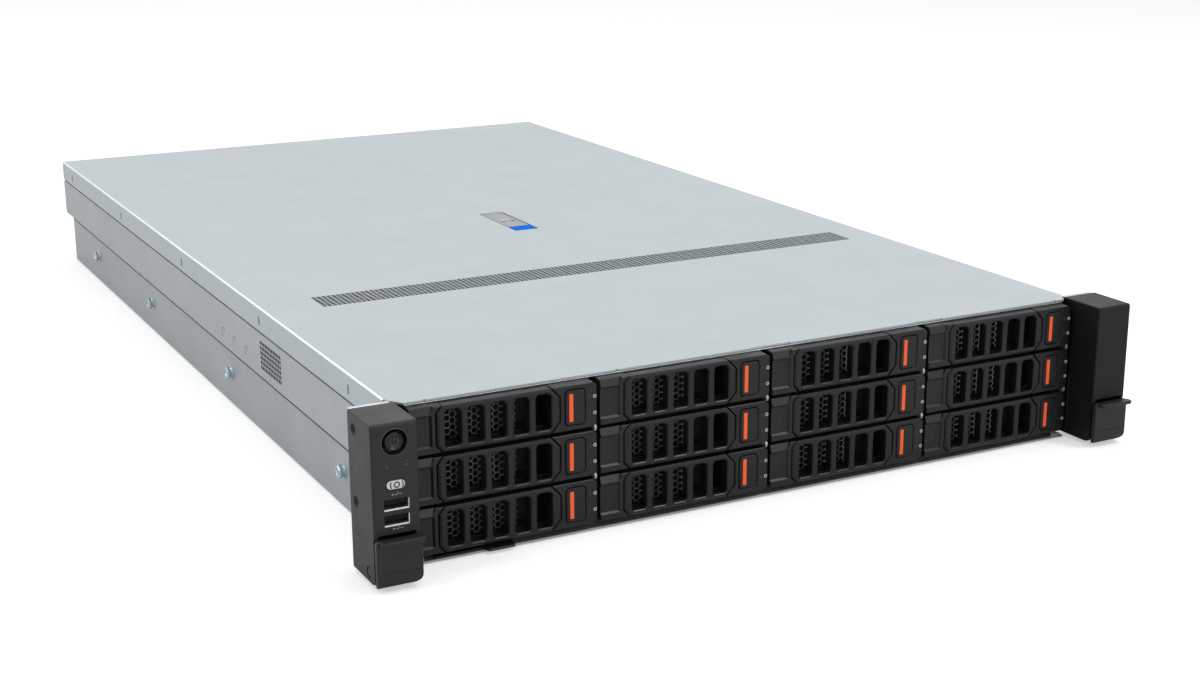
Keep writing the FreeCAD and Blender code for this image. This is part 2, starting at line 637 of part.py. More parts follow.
def drive_backplane():
    """Board behind the bays with one socket a bay and air slots between the rows."""
    board = box("backplane_board", ("-cage_half + 1", "cage_half - 1"),
                ("backplane_front", "backplane_front + backplane_thick"), ("sheet", bay_bottom(ROWS)))
    slots, sockets = [], []
    for column in range(COLUMNS):
        for row in range(ROWS):
            name = "%d_%d" % (column, row)
            left = f"{bay_line(column)} + (bay_pitch_x - air_slot_width) / 2"
            bottom = f"{bay_bottom(row)} + bay_pitch_z - air_slot_height - 3"
            slots.append(box("air_slot_" + name, (left, f"{left} + air_slot_width"),
                             ("backplane_front - 1", "backplane_front + backplane_thick + 1"),
                             (bottom, f"{bottom} + air_slot_height")))
            left = f"{bay_line(column)} + drive_socket_left"
            bottom = f"{bay_bottom(row)} + drive_socket_lift"
            sockets.append(box("drive_socket_" + name, (left, f"{left} + drive_socket_width"),
                               ("rail_end + running_gap", "backplane_front"),
                               (bottom, f"{bottom} + drive_socket_height")))
    return node("drive_backplane", group("drive_backplane", [cut("backplane", board, slots)] + sockets))


# ---------------------------------------------------------------- drive carriers
def lever_cuts():
    left, right = ("lever_cut_left_x", "lever_cut_left_z"), ("lever_cut_right_x", "lever_cut_right_z")
    return [left, right, right, left]


def carrier_master():
    """Carrier at the first bay line: bezel with lever pocket and button well, side rails, and its drive."""
    face = box("bezel_block", ("bezel_left", "bezel_left + bezel_width"), ("-bezel_face", "bezel_back"),
               ("bezel_lift", "bezel_lift + bezel_height"))
    pocket = padded("lever_pocket", "XZ_Plane",
                    [cut_corner_outline("(lever_left - lever_gap)", "(lever_right + lever_gap)",
                                        "(lever_bottom - lever_gap)", "(lever_top + lever_gap)",
                                        lever_cuts())],
                    "bezel_face - pocket_back + 1", y="-bezel_face - 1")
    duct = box("bezel_duct", ("duct_left", "duct_right"), ("-pocket_back - 1", "bezel_back + 1"),
               ("duct_bottom", "duct_bottom + duct_height"))
    well = box("button_well", ("button_left - button_gap", "button_left + button_width + button_gap"),
               ("-bezel_face - 1", "button_depth - button_proud - bezel_face + button_travel + button_gap"),
               ("button_bottom - button_gap", "button_bottom + button_height + button_gap"))
    pad = box("grip_pad", ("bezel_left - 1", "pad_recess_edge"),
              ("-bezel_face - 1", "pad_recess_depth - bezel_face"),
              ("bezel_lift + pad_recess_bottom", "bezel_lift + bezel_height - pad_recess_top"))
    bezel = cut("bezel_cut", face, [pocket, duct, well, pad])
    pin = rod("lever_pin", "lever_pin_radius", "bezel_height - 2 * pin_end_inset",
              ("pivot_x", "pivot_y", "bezel_lift + pin_end_inset"), "Z")
    rails = []
    for side, left in (("left", "rail_outer"), ("right", "bay_pitch_x - rail_outer - rail_thick")):
        rails.append(box("carrier_rail_" + side, (left, f"{left} + rail_thick"), ("0", "rail_end"),
                         ("drive_lift", "drive_lift + rail_height")))
    bar = box("carrier_rear_bar", ("rail_outer", "bay_pitch_x - rail_outer"),
              ("rail_end - rear_bar", "rail_end"), ("drive_lift", "drive_lift + rear_bar_height"))
    frame = fuse("carrier_frame", [bezel, pin, bar] + rails)
    drive = box("hard_drive", ("(bay_pitch_x - drive_width) / 2", "(bay_pitch_x + drive_width) / 2"),
                ("drive_front", "drive_front + drive_length"), ("drive_lift", "drive_lift + drive_height"))
    return group("carrier_master", [frame, drive])


def lever_master():
    """Lever plate with cut corners, five windows and a slot at the back that snaps over its pin."""
    windows = []
    for number in range(int(value("window_count"))):
        left = "(window_first + %d * window_pitch)" % number
        right, top = f"{left} + window_width", "window_bottom + window_height"
        windows.append([(left, "window_bottom"), (right, "window_bottom"), (right, top), (left, top)])
    outline = cut_corner_outline("lever_left", "lever_right", "(lever_bottom)", "(lever_top)", lever_cuts())
    plate = padded("lever_plate", "XZ_Plane", [outline] + windows, "lever_thick", y="-lever_face")
    edge_x, edge_y = value("lever_left") + 0.01, value("-lever_face") + 0.01
    soft = edged("lever_soft_edge", "Part::Chamfer", plate, "lever_edge_cut", Z_AXIS,
                 lambda middle: middle.x < edge_x and middle.y < edge_y)
    slot_half = "(lever_pin_radius + pin_clearance)"
    slot = box("lever_pin_slot", (f"pivot_x - {slot_half}", f"pivot_x + {slot_half}"),
               (f"pivot_y - {slot_half}", "lever_thick - lever_face + 1"),
               ("bezel_lift - 1", "lever_top + 1"))
    return cut("lever_master", soft, [slot])


def button_master():
    """Release button: a block with its four corners cut."""
    outline = cut_corner_outline("button_left", "(button_left + button_width)", "(button_bottom)",
                                 "(button_bottom + button_height)", [("button_cut", "button_cut")] * 4)
    return padded("button_master", "XZ_Plane", [outline], "button_depth", y="-bezel_face - button_proud")


def drive_bays():
    """Twelve carriers with their levers and release buttons, left to right, from the top row down."""
    masters = (("drive_carrier", carrier_master()), ("carrier_lever", lever_master()),
               ("release_button", button_master()))
    number = 0
    for row in reversed(range(ROWS)):
        for column in range(COLUMNS):
            number += 1
            for stem, master in masters:
                label = "%s_%02d" % (stem, number)
                node(label, copy_of(label, master, x=bay_line(column), z=bay_bottom(row)))


# ---------------------------------------------------------------- ears
def side_range(side, near, far):
    """A stretch across an ear, from distances measured in from its outer edge."""
    if side == "left":
        return f"-ear_edge + {near}", f"-ear_edge + {far}"
    return f"ear_edge - ({far})", f"ear_edge - ({near})"


def ear_body(side):
    """Ear housing with its screw well, the flange to the side wall and the latch's pivot pin."""
    block = box("ear_block_" + side, side_range(side, "0", "ear_width"), ("-ear_front", "0"),
                ("ear_bottom", "ear_top"))
    limit = value("ear_top") - 0.01
    block = edged("ear_rounded_" + side, "Part::Fillet", block, "ear_round", X_AXIS,
                  lambda middle: middle.z > limit and middle.y > -1)
    low, ahead = value("ear_bottom") + 0.01, value("-ear_front") + 0.01
    block = edged("ear_swept_" + side, "Part::Fillet", block, "latch_pivot_height - ear_bottom", X_AXIS,
                  lambda middle: middle.z < low and middle.y < ahead)
    flange = box("ear_flange_" + side, side_range(side, "ear_width - 1", "ear_edge - lower_half"),
                 ("-ear_flange_depth", "0"), ("sheet + ear_flange_edge", "rail_line - ear_flange_edge"))
    well = box("screw_well_" + side, side_range(side, "ear_wall", "ear_width - ear_wall"),
               ("-ear_front - 1", "-ear_back_wall"), ("ear_bottom - 1", "ear_well_top"))
    hole = rod("screw_hole_" + side, "rack_screw_radius + screw_clearance", "ear_back_wall + 2",
               ("%srack_screw_x" % ("-" if side == "left" else ""), "-ear_back_wall - 1",
                "rack_screw_height"), "Y")
    pin = rod("ear_pin_" + side, "pivot_radius", "ear_width",
              (side_range(side, "0", "ear_width")[0], "latch_pivot_y", "latch_pivot_height"), "X")
    housing = cut("ear_hollow_" + side, fuse("ear_solid_" + side, [block, flange]), [well, hole])
    return fuse("ear_with_pin_" + side, [housing, pin])


def obround(name, width, height, y, depth, middle_x, middle_z):
    """A slot shape along X: a block with a half round at each end."""
    half = f"({width} - ({height})) / 2"
    bar = box(name + "_bar", (f"{middle_x} - {half}", f"{middle_x} + {half}"), (y, f"{y} + {depth}"),
              (f"{middle_z} - ({height}) / 2", f"{middle_z} + ({height}) / 2"))
    ends = [rod(f"{name}_end_{sign}", f"({height}) / 2", depth,
                (f"{middle_x} {word} {half}", y, middle_z), "Y")
            for sign, word in (("a", "-"), ("b", "+"))]
    return fuse(name, [bar] + ends)


def left_ear():
    """Ear with the power and locator buttons' wells and two USB ports."""
    housing = ear_body("left")
    well = rod("power_hole", "power_radius + power_gap", "power_well + 1",
               ("power_axis_x", "-ear_front - 1", "power_z"), "Y")
    slot = obround("locator_hole", "(locator_width + 2 * power_gap)", "(locator_height + 2 * power_gap)",
                   "-ear_front - 1", "locator_well + 1", "power_axis_x", "locator_z")
    holes, shells = [well, slot], []
    for level in ("upper", "lower"):
        middle = "port_z_" + level
        across = ("power_axis_x - port_width / 2", "power_axis_x + port_width / 2")
        up = (f"{middle} - port_height / 2", f"{middle} + port_height / 2")
        holes.append(box("port_hole_" + level, across, ("-ear_front - 1", "-ear_front + port_depth"), up))
        shell = box("port_shell_" + level, across, ("-ear_front - 0.2", "-ear_front + port_depth"), up)
        inside = box("port_inside_" + level, (across[0] + " + port_sheet", across[1] + " - port_sheet"),
                     ("-ear_front - 1", "-ear_front + port_depth - port_sheet"),
                     (up[0] + " + port_sheet", up[1] + " - port_sheet"))
        tongue = box("port_tongue_" + level, (across[0] + " + 1", across[1] + " - 1"),
                     ("-ear_front + 1", "-ear_front + port_depth - port_sheet"),
                     (up[1] + " - port_sheet - 0.4 - tongue_height", up[1] + " - port_sheet - 0.4"))
        shells += [cut("port_" + level, shell, [inside]), tongue]
    return node("left_ear", group("left_ear", [cut("left_ear_housing", housing, holes)] + shells))


def ear_latch(side):
    """Flip latch over the rack screw: front plate, thumb lip and two arms that snap on the ear's pin."""
    low, high = side_range(side, "0", "ear_width")
    bottom, top, corner = "latch_bottom", "latch_top", "latch_corner"
    if side == "left":
        outline = [(low, bottom), (f"{high} - {corner}", bottom), (high, f"{bottom} + {corner}"),
                   (high, top), (low, top)]
    else:
        outline = [(f"{low} + {corner}", bottom), (high, bottom), (high, top), (low, top),
                   (low, f"{bottom} + {corner}")]
    plate = padded("latch_plate_" + side, "XZ_Plane", [outline], "latch_plate", y="-latch_face")
    low_edge, ahead = value("latch_bottom") + 0.01, value("-latch_face") + 0.01
    plate = edged("latch_swept_" + side, "Part::Chamfer", plate, "latch_plate - latch_edge", X_AXIS,
                  lambda middle: middle.z < low_edge and middle.y < ahead)
    lip = box("latch_lip_" + side, (low, high), ("-latch_face - latch_lip_reach", "-latch_face + latch_edge"),
              ("latch_top - latch_lip_thick", "latch_top"))
    arms = []
    inset = "ear_wall + latch_arm_gap"
    for name, near in (("outer", inset), ("inner", "ear_width - ear_wall - latch_arm_gap - latch_arm")):
        arms.append(box(f"latch_arm_{name}_{side}", side_range(side, near, f"{near} + latch_arm"),
                        ("-latch_back - latch_edge", "latch_pivot_y + latch_arm_half"),
                        ("latch_pivot_height - latch_arm_half", "latch_pivot_height + latch_arm_half")))
    slot_half = "(pivot_radius + pin_clearance)"
    slot = box("latch_slot_" + side, side_range(side, "ear_wall", "ear_width - ear_wall"),
               (f"latch_pivot_y - {slot_half}", "latch_pivot_y + latch_arm_half + 1"),
               (f"latch_pivot_height - {slot_half}", f"latch_pivot_height + {slot_half}"))
    solid = fuse("latch_solid_" + side, [plate, lip] + arms)
    return node("ear_latch_" + side, cut("ear_latch_" + side, solid, [slot]))


def rack_screws():
    """Captive screws in the ears' wells: head, relieved neck through the ear, and thread behind it."""
    screws = []
    for side, x in (("left", "-rack_screw_x"), ("right", "rack_screw_x")):
        neck = prism("screw_neck_" + side, 8, "rack_screw_neck_radius", "ear_back_wall + 0.5",
                     (x, "-ear_back_wall - 0.5", "rack_screw_height"), "Y")
        shank = rod("screw_thread_" + side, "rack_screw_radius", "rack_screw_reach",
                    (x, "0", "rack_screw_height"), "Y")
        head = rod("screw_head_" + side, "rack_screw_head_radius", "rack_screw_head",
                   (x, "-ear_back_wall - rack_screw_head", "rack_screw_height"), "Y")
        screws.append(fuse("rack_screw_" + side, [neck, shank, head]))
    return screws


def ear_buttons():
    """Power button cap and the locator button."""
    cap = rod("power_button", "power_radius", "power_cap",
              ("power_axis_x", "power_sunk - ear_front", "power_z"), "Y")
    node("power_button", cap)
    locator = obround("locator_button", "locator_width", "locator_height", "-ear_front - locator_proud",
                      "locator_depth", "power_axis_x", "locator_z")
    node("locator_button", locator)


def pull_tab():
    """Card under the lower left carriers that pulls out to be read."""
    card = box("pull_tab", ("tab_left", "tab_left + tab_width"), ("-tab_front", "-tab_front + tab_length"),
               ("sheet + tab_floor_gap", "sheet + tab_floor_gap + tab_thick"))
    return node("pull_tab", card)


# ---------------------------------------------------------------- cover
def top_cover():
    """Cover sheet with cut front corners, and under it two side lips and the dish that holds its latch."""
    half = [("upper_half - corner_cut_x", "-cover_front"),
            ("upper_half", "corner_cut_y - cover_front"),
            ("upper_half", "chassis_depth")]
    other = [("-(%s)" % x, y) for x, y in reversed(half)]
    top = padded("cover_top_sheet", "XY_Plane", [half + other], "cover_sheet", z="cover_under")
    along = ("corner_cut_y - cover_front", "chassis_depth")
    down = ("lip_bottom", "cover_under")
    lips = [box("cover_lip_left", ("-upper_half", "-upper_half + cover_sheet"), along, down),
            box("cover_lip_right", ("upper_half - cover_sheet", "upper_half"), along, down)]
    wall = "latch_dish_wall"
    low, high = "cover_latch_x - dish_half", "cover_latch_x + dish_half"
    fore, rear = "latch_fore - running_gap", "latch_rear + running_gap"
    bottom = "cover_under - latch_dish_depth"
    dish = box("latch_dish", (f"{low} - {wall}", f"{high} + {wall}"),
               (f"{fore} - {wall}", f"{rear} + {wall}"), (bottom, "cover_under"))
    space = box("latch_dish_space", (low, high), (fore, rear), (f"{bottom} + {wall}", "cover_top + 1"))
    pin = rod("latch_pin", "latch_pin_radius", "2 * dish_half", (low, "latch_pin_y", "latch_pin_z"), "X")
    tray = fuse("latch_tray", [cut("latch_dish_hollow", dish, [space]), pin])
    return node("top_cover", group("top_cover", [cut("cover_opening", top, [space]), tray] + lips))


def cover_latch():
    """Flush handle plate that swings up on the pin at its rear end."""
    low, high = "cover_latch_x - cover_latch_width / 2", "cover_latch_x + cover_latch_width / 2"
    plate = box("cover_latch_plate", (low, high), ("latch_fore", "latch_rear - latch_end_gap"),
                ("cover_top - cover_latch_thick", "cover_top"))
    eye = rod("cover_latch_eye", "latch_pin_radius + latch_eye_wall", "cover_latch_width",
              (low, "latch_pin_y", "latch_pin_z"), "X")
    bore = rod("cover_latch_bore", "latch_pin_radius + pin_clearance", "cover_latch_width + 2",
               (f"{low} - 1", "latch_pin_y", "latch_pin_z"), "X")
    solid = fuse("cover_latch_solid", [plate, eye])
    return node("cover_latch", cut("cover_latch", solid, [bore]))


# ---------------------------------------------------------------- fans
def fan_x(number):
    return "((%d - (fan_count - 1) / 2) * fan_pitch)" % number


def fan_frames():
    """Square frames with a round air way; struts at the back carry the motor mount."""
    half = "fan_size / 2"
    outline = cut_corner_outline(f"(-{half})", f"({half})", "(running_gap + sheet)",
                                 "(running_gap + sheet + fan_size)", [("fan_corner", "fan_corner")] * 4)
    frame = padded("fan_frame_block", "XZ_Plane", [outline], "fan_depth", y="fan_front")
    bore = rod("fan_air_way", "fan_bore_radius", "fan_depth + 2", ("0", "fan_front - 1", "fan_middle_z"), "Y")
    ring = cut("fan_frame_ring", frame, [bore])
    rear = "fan_front + fan_depth"
    motor = rod("fan_motor_mount", "fan_hub_radius", "fan_motor_depth",
                ("0", f"{rear} - fan_motor_depth", "fan_middle_z"), "Y")
    strut_depth = (f"{rear} - fan_motor_depth / 2", rear)
    level = box("fan_strut_level", ("-fan_bore_radius - 0.5", "fan_bore_radius + 0.5"), strut_depth,
                ("fan_middle_z - fan_strut / 2", "fan_middle_z + fan_strut / 2"))
    upright = box("fan_strut_upright", ("-fan_strut / 2", "fan_strut / 2"), strut_depth,
                  ("fan_middle_z - fan_bore_radius - 0.5", "fan_middle_z + fan_bore_radius + 0.5"))
    master = fuse("fan_frame_master", [ring, motor, level, upright])
    copies = [copy_of("fan_frame_%d" % (number + 1), master, x=fan_x(number))
              for number in range(int(value("fan_count")))]
    return node("fan_frames", group("fan_frames", copies))


def fan_rotors():
    """Hub with pitched blades, which runs just ahead of the motor mount."""
    hub = rod("rotor_hub", "fan_hub_radius", "fan_hub_length", ("0", "0", "0"), "Y")
    blades = []
    for number in range(int(value("fan_blade_count"))):
        blade = doc.addObject("Part::Box", "rotor_blade_%d" % (number + 1))
        blade.setExpression("Length", bound("fan_blade_chord"))
        blade.setExpression("Width", bound("fan_blade_thick"))
        blade.setExpression("Height", bound("fan_bore_radius - fan_tip_gap - fan_hub_radius"))
        turn = Rotation(Y_AXIS, 360.0 * number / value("fan_blade_count"))
        pitched = turn.multiply(Rotation(Z_AXIS, value("fan_blade_angle")))
        corner = Vector(value("-fan_blade_chord / 2"), value("-fan_blade_thick / 2"),
                        value("fan_hub_radius - 1"))
        middle = Vector(0, value("fan_hub_length / 2"), 0)
        blade.Placement = Placement(middle + pitched.multVec(corner), pitched)
        blades.append(blade)
    master = fuse("rotor_master", [hub] + blades)
    for number in range(int(value("fan_count"))):
        label = "fan_rotor_%d" % (number + 1)
        node(label, copy_of(label, master, x=fan_x(number), y="rotor_front", z="fan_middle_z"))


# ---------------------------------------------------------------- system board
def module_positions():
    """Middle of each memory module across the machine: outer banks and the bank between the processors."""
    banks = []
    between = max(0, int(value("middle_bank_room / module_pitch")))
    for middle, count in (("-bank_middle", 8), ("0", between), ("bank_middle", 8)):
        for number in range(count):
            banks.append("%s + (%d - %d / 2) * module_pitch" % (middle, number, count - 1))
    return banks


def system_board():
    """System board on standoffs, with processors under heatsinks, memory modules and the rear ports."""
    outline = [("-board_half", "board_front"), ("board_half", "board_front"), ("board_half", "board_rear"),
               ("board_left_rear", "board_rear"), ("board_left_rear", "board_step"),
               ("-board_half", "board_step")]
    board = padded("board", "XY_Plane", [outline], "board_thick", z="board_lift")
    pieces = [board]
    left, right = "-board_half + standoff_inset", "board_half - standoff_inset"
    front, step = "board_front + standoff_inset", "board_step - standoff_inset"
    rear = "board_rear - standoff_inset"
    places = [(left, front), (right, front), ("0", front), (left, step), (right, step), ("0", step),
              (right, rear), ("board_left_rear + standoff_inset", rear)]
    for number, (x, y) in enumerate(places, start=1):
        pieces.append(prism("standoff_%d" % number, 6, "standoff_radius", "board_lift - sheet",
                            (x, y, "sheet"), "Z"))
    for side, x in (("left", "-processor_x"), ("right", "processor_x")):
        pieces.append(box("processor_socket_" + side, (f"{x} - socket_size / 2", f"{x} + socket_size / 2"),
                          ("processor_y - socket_size / 2", "processor_y + socket_size / 2"),
                          ("board_top", "board_top + socket_height")))
    for number, x in enumerate(module_positions(), start=1):
        ends = ("processor_y - module_length / 2 - module_socket_extra",
                "processor_y + module_length / 2 + module_socket_extra")
        pieces.append(box("module_socket_%d" % number,
                          (f"{x} - module_socket_width / 2", f"{x} + module_socket_width / 2"),
                          ends, ("board_top", "board_top + module_socket_height")))
        pieces.append(box("memory_module_%d" % number, (f"{x} - module_thick / 2", f"{x} + module_thick / 2"),
                          ("processor_y - module_length / 2", "processor_y + module_length / 2"),
                          ("board_top + module_socket_height",
                           "board_top + module_socket_height / 2 + module_height")))
    for number, (left, width) in enumerate(REAR_PORTS, start=1):
        rear = "chassis_depth + io_proud"
        pieces.append(box("rear_port_%d" % number, (left, f"{left} + {width}"), (f"{rear} - io_depth", rear),
                          ("board_top", "board_top + io_height")))
    return node("system_board", group("system_board", pieces + heatsinks()))


def heatsinks():
    """Finned blocks on the processor sockets, the fins in line with the air flow."""
    count = int(value("fin_count"))
    base = "board_top + socket_height"
    left = "-heatsink_width / 2"
    outline = [(left, base), ("heatsink_width / 2", base)]
    pitch = "(heatsink_width - fin_thick) / (fin_count - 1)"
    for number in reversed(range(count)):
        low = f"{left} + {number} * {pitch}"
        high = f"{low} + fin_thick"
        floor = f"{base} + heatsink_base"
        outline += [(high, floor)] if number < count - 1 else []
        outline += [(high, "heatsink_top"), (low, "heatsink_top")]
        outline += [(low, floor)] if number > 0 else []
    master = padded("heatsink_master", "XZ_Plane", [outline], "heatsink_length",
                    y="processor_y - heatsink_length / 2")
    return [copy_of("heatsink_" + side, master, x=x)
            for side, x in (("left", "-processor_x"), ("right", "processor_x"))]


# ---------------------------------------------------------------- power supplies
def power_supply(number, bottom):
    """Plug-in supply: body with mains inlet, a loop handle, and the release tab beside it."""
    body = box("supply_body_%d" % number, ("supply_left", "supply_left + supply_width"),
               ("supply_face - supply_length", "supply_face"), (bottom, f"{bottom} + supply_height"))
    middle = f"{bottom} + supply_height / 2"
    inlet = box("supply_inlet_%d" % number,
                ("supply_left + handle_left", "supply_left + handle_left + inlet_width"),
                ("supply_face - inlet_depth", "supply_face + 1"),
                (f"{middle} - inlet_height / 2", f"{middle} + inlet_height / 2"))
    bar_height = (f"{middle} - handle_bar / 2", f"{middle} + handle_bar / 2")
    loop = box("supply_handle_%d" % number, ("handle_start", "handle_end"),
               ("supply_face - 1", "supply_face + handle_reach"), bar_height)
    finger = box("supply_handle_space_%d" % number, ("handle_start + handle_bar", "handle_end - handle_bar"),
                 ("supply_face", "supply_face + handle_reach - handle_bar"),
                 (f"{middle} - handle_bar", f"{middle} + handle_bar"))
    supply = cut("power_supply_%d" % number, fuse("supply_solid_%d" % number, [body, loop]), [inlet, finger])
    node("power_supply_%d" % number, supply)
    tab = box("supply_tab_%d" % number, ("supply_tab_left", "supply_tab_left + supply_tab_width"),
              ("supply_face", "supply_face + supply_tab_reach"),
              (f"{bottom} + supply_tab_lift", f"{bottom} + supply_tab_lift + supply_tab_height"))
    node("supply_tab_%d" % number, tab)


# ---------------------------------------------------------------- build, check, export
chassis_tub()
rear_panel()
node("mounting_fasteners", group("mounting_fasteners", rail_studs() + rack_screws()))
drive_cage()
drive_backplane()
drive_bays()
left_ear()
node("right_ear", ear_body("right"))
ear_latch("left")
ear_latch("right")
ear_buttons()
pull_tab()
top_cover()
cover_latch()
fan_frames()
fan_rotors()
system_board()
power_supply(1, "supply_upper_z")
power_supply(2, "supply_lower_z")
doc.recompute()

failed = [thing.Name for thing in doc.Objects if set(thing.State) & {"Invalid", "Error"}]
if failed:
    raise RuntimeError("objects that failed: " + ", ".join(failed))
for thing in nodes:
    if thing.Shape.isNull() or not thing.Shape.isValid() or not thing.Shape.Solids:
        raise RuntimeError("no valid solid in " + thing.Label)

os.makedirs("parts", exist_ok=True)
for thing in nodes:
    thing.Shape.exportStep("parts/%s.step" % thing.Label)
print(len(nodes), "sub-parts written")
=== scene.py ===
# %% [markdown]
# # A two-unit rack server
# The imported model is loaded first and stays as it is: it gives every size and every moving body.
# All that follows dresses it. Sizes are written in millimetres and turned to metres once, when a
# finished mesh becomes an object.
# %% Load the frame
import math
import bmesh
import bpy
from mathutils import Matrix, Vector


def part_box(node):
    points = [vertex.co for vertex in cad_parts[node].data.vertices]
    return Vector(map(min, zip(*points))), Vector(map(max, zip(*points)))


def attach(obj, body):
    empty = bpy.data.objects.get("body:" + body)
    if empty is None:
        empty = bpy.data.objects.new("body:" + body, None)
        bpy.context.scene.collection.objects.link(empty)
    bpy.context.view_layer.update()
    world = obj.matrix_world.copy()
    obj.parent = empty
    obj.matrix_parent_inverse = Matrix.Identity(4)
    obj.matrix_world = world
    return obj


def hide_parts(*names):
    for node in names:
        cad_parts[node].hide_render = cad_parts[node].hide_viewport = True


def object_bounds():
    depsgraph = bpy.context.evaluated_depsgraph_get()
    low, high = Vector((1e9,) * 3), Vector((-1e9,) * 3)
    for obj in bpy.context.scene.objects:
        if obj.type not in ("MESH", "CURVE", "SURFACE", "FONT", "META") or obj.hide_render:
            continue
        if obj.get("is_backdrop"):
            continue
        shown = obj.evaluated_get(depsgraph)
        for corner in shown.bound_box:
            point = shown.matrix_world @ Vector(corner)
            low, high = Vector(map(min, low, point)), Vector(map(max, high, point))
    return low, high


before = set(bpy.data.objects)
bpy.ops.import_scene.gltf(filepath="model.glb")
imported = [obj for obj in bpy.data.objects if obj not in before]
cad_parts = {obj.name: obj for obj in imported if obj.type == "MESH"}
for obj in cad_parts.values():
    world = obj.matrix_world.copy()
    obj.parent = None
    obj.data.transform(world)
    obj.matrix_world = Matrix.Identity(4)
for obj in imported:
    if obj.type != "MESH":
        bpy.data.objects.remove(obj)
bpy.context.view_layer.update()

# %% [markdown]
# ## Camera
# A product view from the front left, a little above the cover. The lens is a short telephoto, so the
# long box tapers only gently. The turn is written as yaw, pitch and roll, because three angles are
# easier to read and to adjust than a matrix.
# %% Camera
MM = 0.001
LENS, SENSOR = 54.64, 36.0
CAMERA_PLACE = (-0.52694, -0.81602, 0.36577)
YAW, PITCH, ROLL = (math.radians(angle) for angle in (27.637, 15.908, 0.217))
scene = bpy.context.scene
scene.view_settings.view_transform = "Standard"
camera = bpy.data.objects.new("camera", bpy.data.cameras.new("camera"))
scene.collection.objects.link(camera)
scene.camera = camera
camera.data.lens, camera.data.sensor_width = LENS, SENSOR
camera.matrix_world = (Matrix.Translation(CAMERA_PLACE) @ Matrix.Rotation(-YAW, 4, "Z")
                       @ Matrix.Rotation(math.pi / 2 - PITCH, 4, "X") @ Matrix.Rotation(-ROLL, 4, "Z"))
print("camera", camera.matrix_world.translation)

# %% [markdown]
# ## Node helper and colour
# A material is a small graph. One function adds a node, sets it up and joins it, so each finish below
# reads as a short list. Colours are written as screen hex codes and turned to linear light once.
# %% Node helper and colour
def linear(code):
    """A screen colour such as #C3CCD2 as linear light."""
    parts = [int(code[place:place + 2], 16) / 255 for place in (1, 3, 5)]
    return [part / 12.92 if part <= 0.04045 else ((part + 0.055) / 1.055) ** 2.4 for part in parts] + [1]


def feed(node, sockets):
    """Gives each named socket a value, or joins another node's output to it."""
    for name, value in sockets.items():
        if isinstance(value, bpy.types.NodeSocket):
            node.id_data.links.new(value, node.inputs[name])
        else:
            node.inputs[name].default_value = value


def add(tree, kind, sockets, out=0, **settings):
    """Adds one node, sets it up and feeds it; gives one of its outputs."""
    node = tree.nodes.new("ShaderNode" + kind)
    for name, setting in settings.items():
        setattr(node, name, setting)
    feed(node, sockets)
    return node.outputs[out]


def new_finish(name):
    """A material with its graph and its shader."""
    material = bpy.data.materials.new(name)
    material.use_nodes = True
    return material, material.node_tree, material.node_tree.nodes["Principled BSDF"]


print("linear grey", [round(part, 3) for part in linear("#C3CCD2")])

# %% [markdown]
# ## Light and stage
# A soft box hangs over the cover and the room gives an even fill, so the cover is the brightest face,
# the side wall is a middle grey and the front is dark. Two small boxes, above the front and above the
# left ear, draw bright lines on the chamfers, and a low one lets the coloured parts show their colour.
# A weak box at the left and one behind lift the side wall and the cover's far edge.
# The room is plain white where the camera, metal or glass looks at it, and dimmer where it only
# lights the surfaces.
# %% Light and stage
WHITE, BLACK = linear("#FFFFFF"), linear("#000000")
FLOOR_HALF, FLOOR_DROP = 30, 0.0004
# name, place and aim in metres, edge length in metres, power in watts
LAMPS = (("soft_box_above", (0.35, 0.45, 2.2), (0.0, 0.25, 0.0), 1.8, 13.0),
         ("small_box_above_front", (0.85, -0.62, 1.7), (0.0, 0.0, 0.04), 0.32, 7.5),
         ("soft_box_front", (1.0, -2.3, 0.35), (0.1, 0.0, 0.04), 1.0, 13.0),
         ("soft_box_left", (-2.2, 0.9, 0.8), (-0.2, 0.35, 0.0), 1.0, 3.4),
         ("small_box_left_above", (-0.86, -0.06, 0.95), (-0.15, 0.0, 0.06), 0.25, 1.5),
         ("strip_light_behind", (-0.9, 2.6, 1.5), (0.0, 0.3, 0.0), 0.6, 7.0))

world = bpy.data.worlds.new("white_room")
scene.world = world
world.use_nodes = True
room = world.node_tree
room.nodes.clear()
ray = add(room, "LightPath", {}).node.outputs
seen = ray["Is Camera Ray"]
for kind in ("Is Glossy Ray", "Is Transmission Ray"):
    seen = add(room, "Math", {0: seen, 1: ray[kind]}, operation="MAXIMUM")
fill, white = (add(room, "Background", {"Color": WHITE, "Strength": strength})
               for strength in (0.5, 1.0))
either = add(room, "MixShader", {0: seen, 1: fill, 2: white})
feed(room.nodes.new("ShaderNodeOutputWorld"), {"Surface": either})

for name, place, aim, size, power in LAMPS:
    lamp = bpy.data.objects.new(name, bpy.data.lights.new(name, "AREA"))
    lamp.data.size, lamp.data.energy = size, power
    lamp.location = place
    lamp.rotation_euler = (Vector(aim) - Vector(place)).to_track_quat("-Z", "Y").to_euler()
    scene.collection.objects.link(lamp)

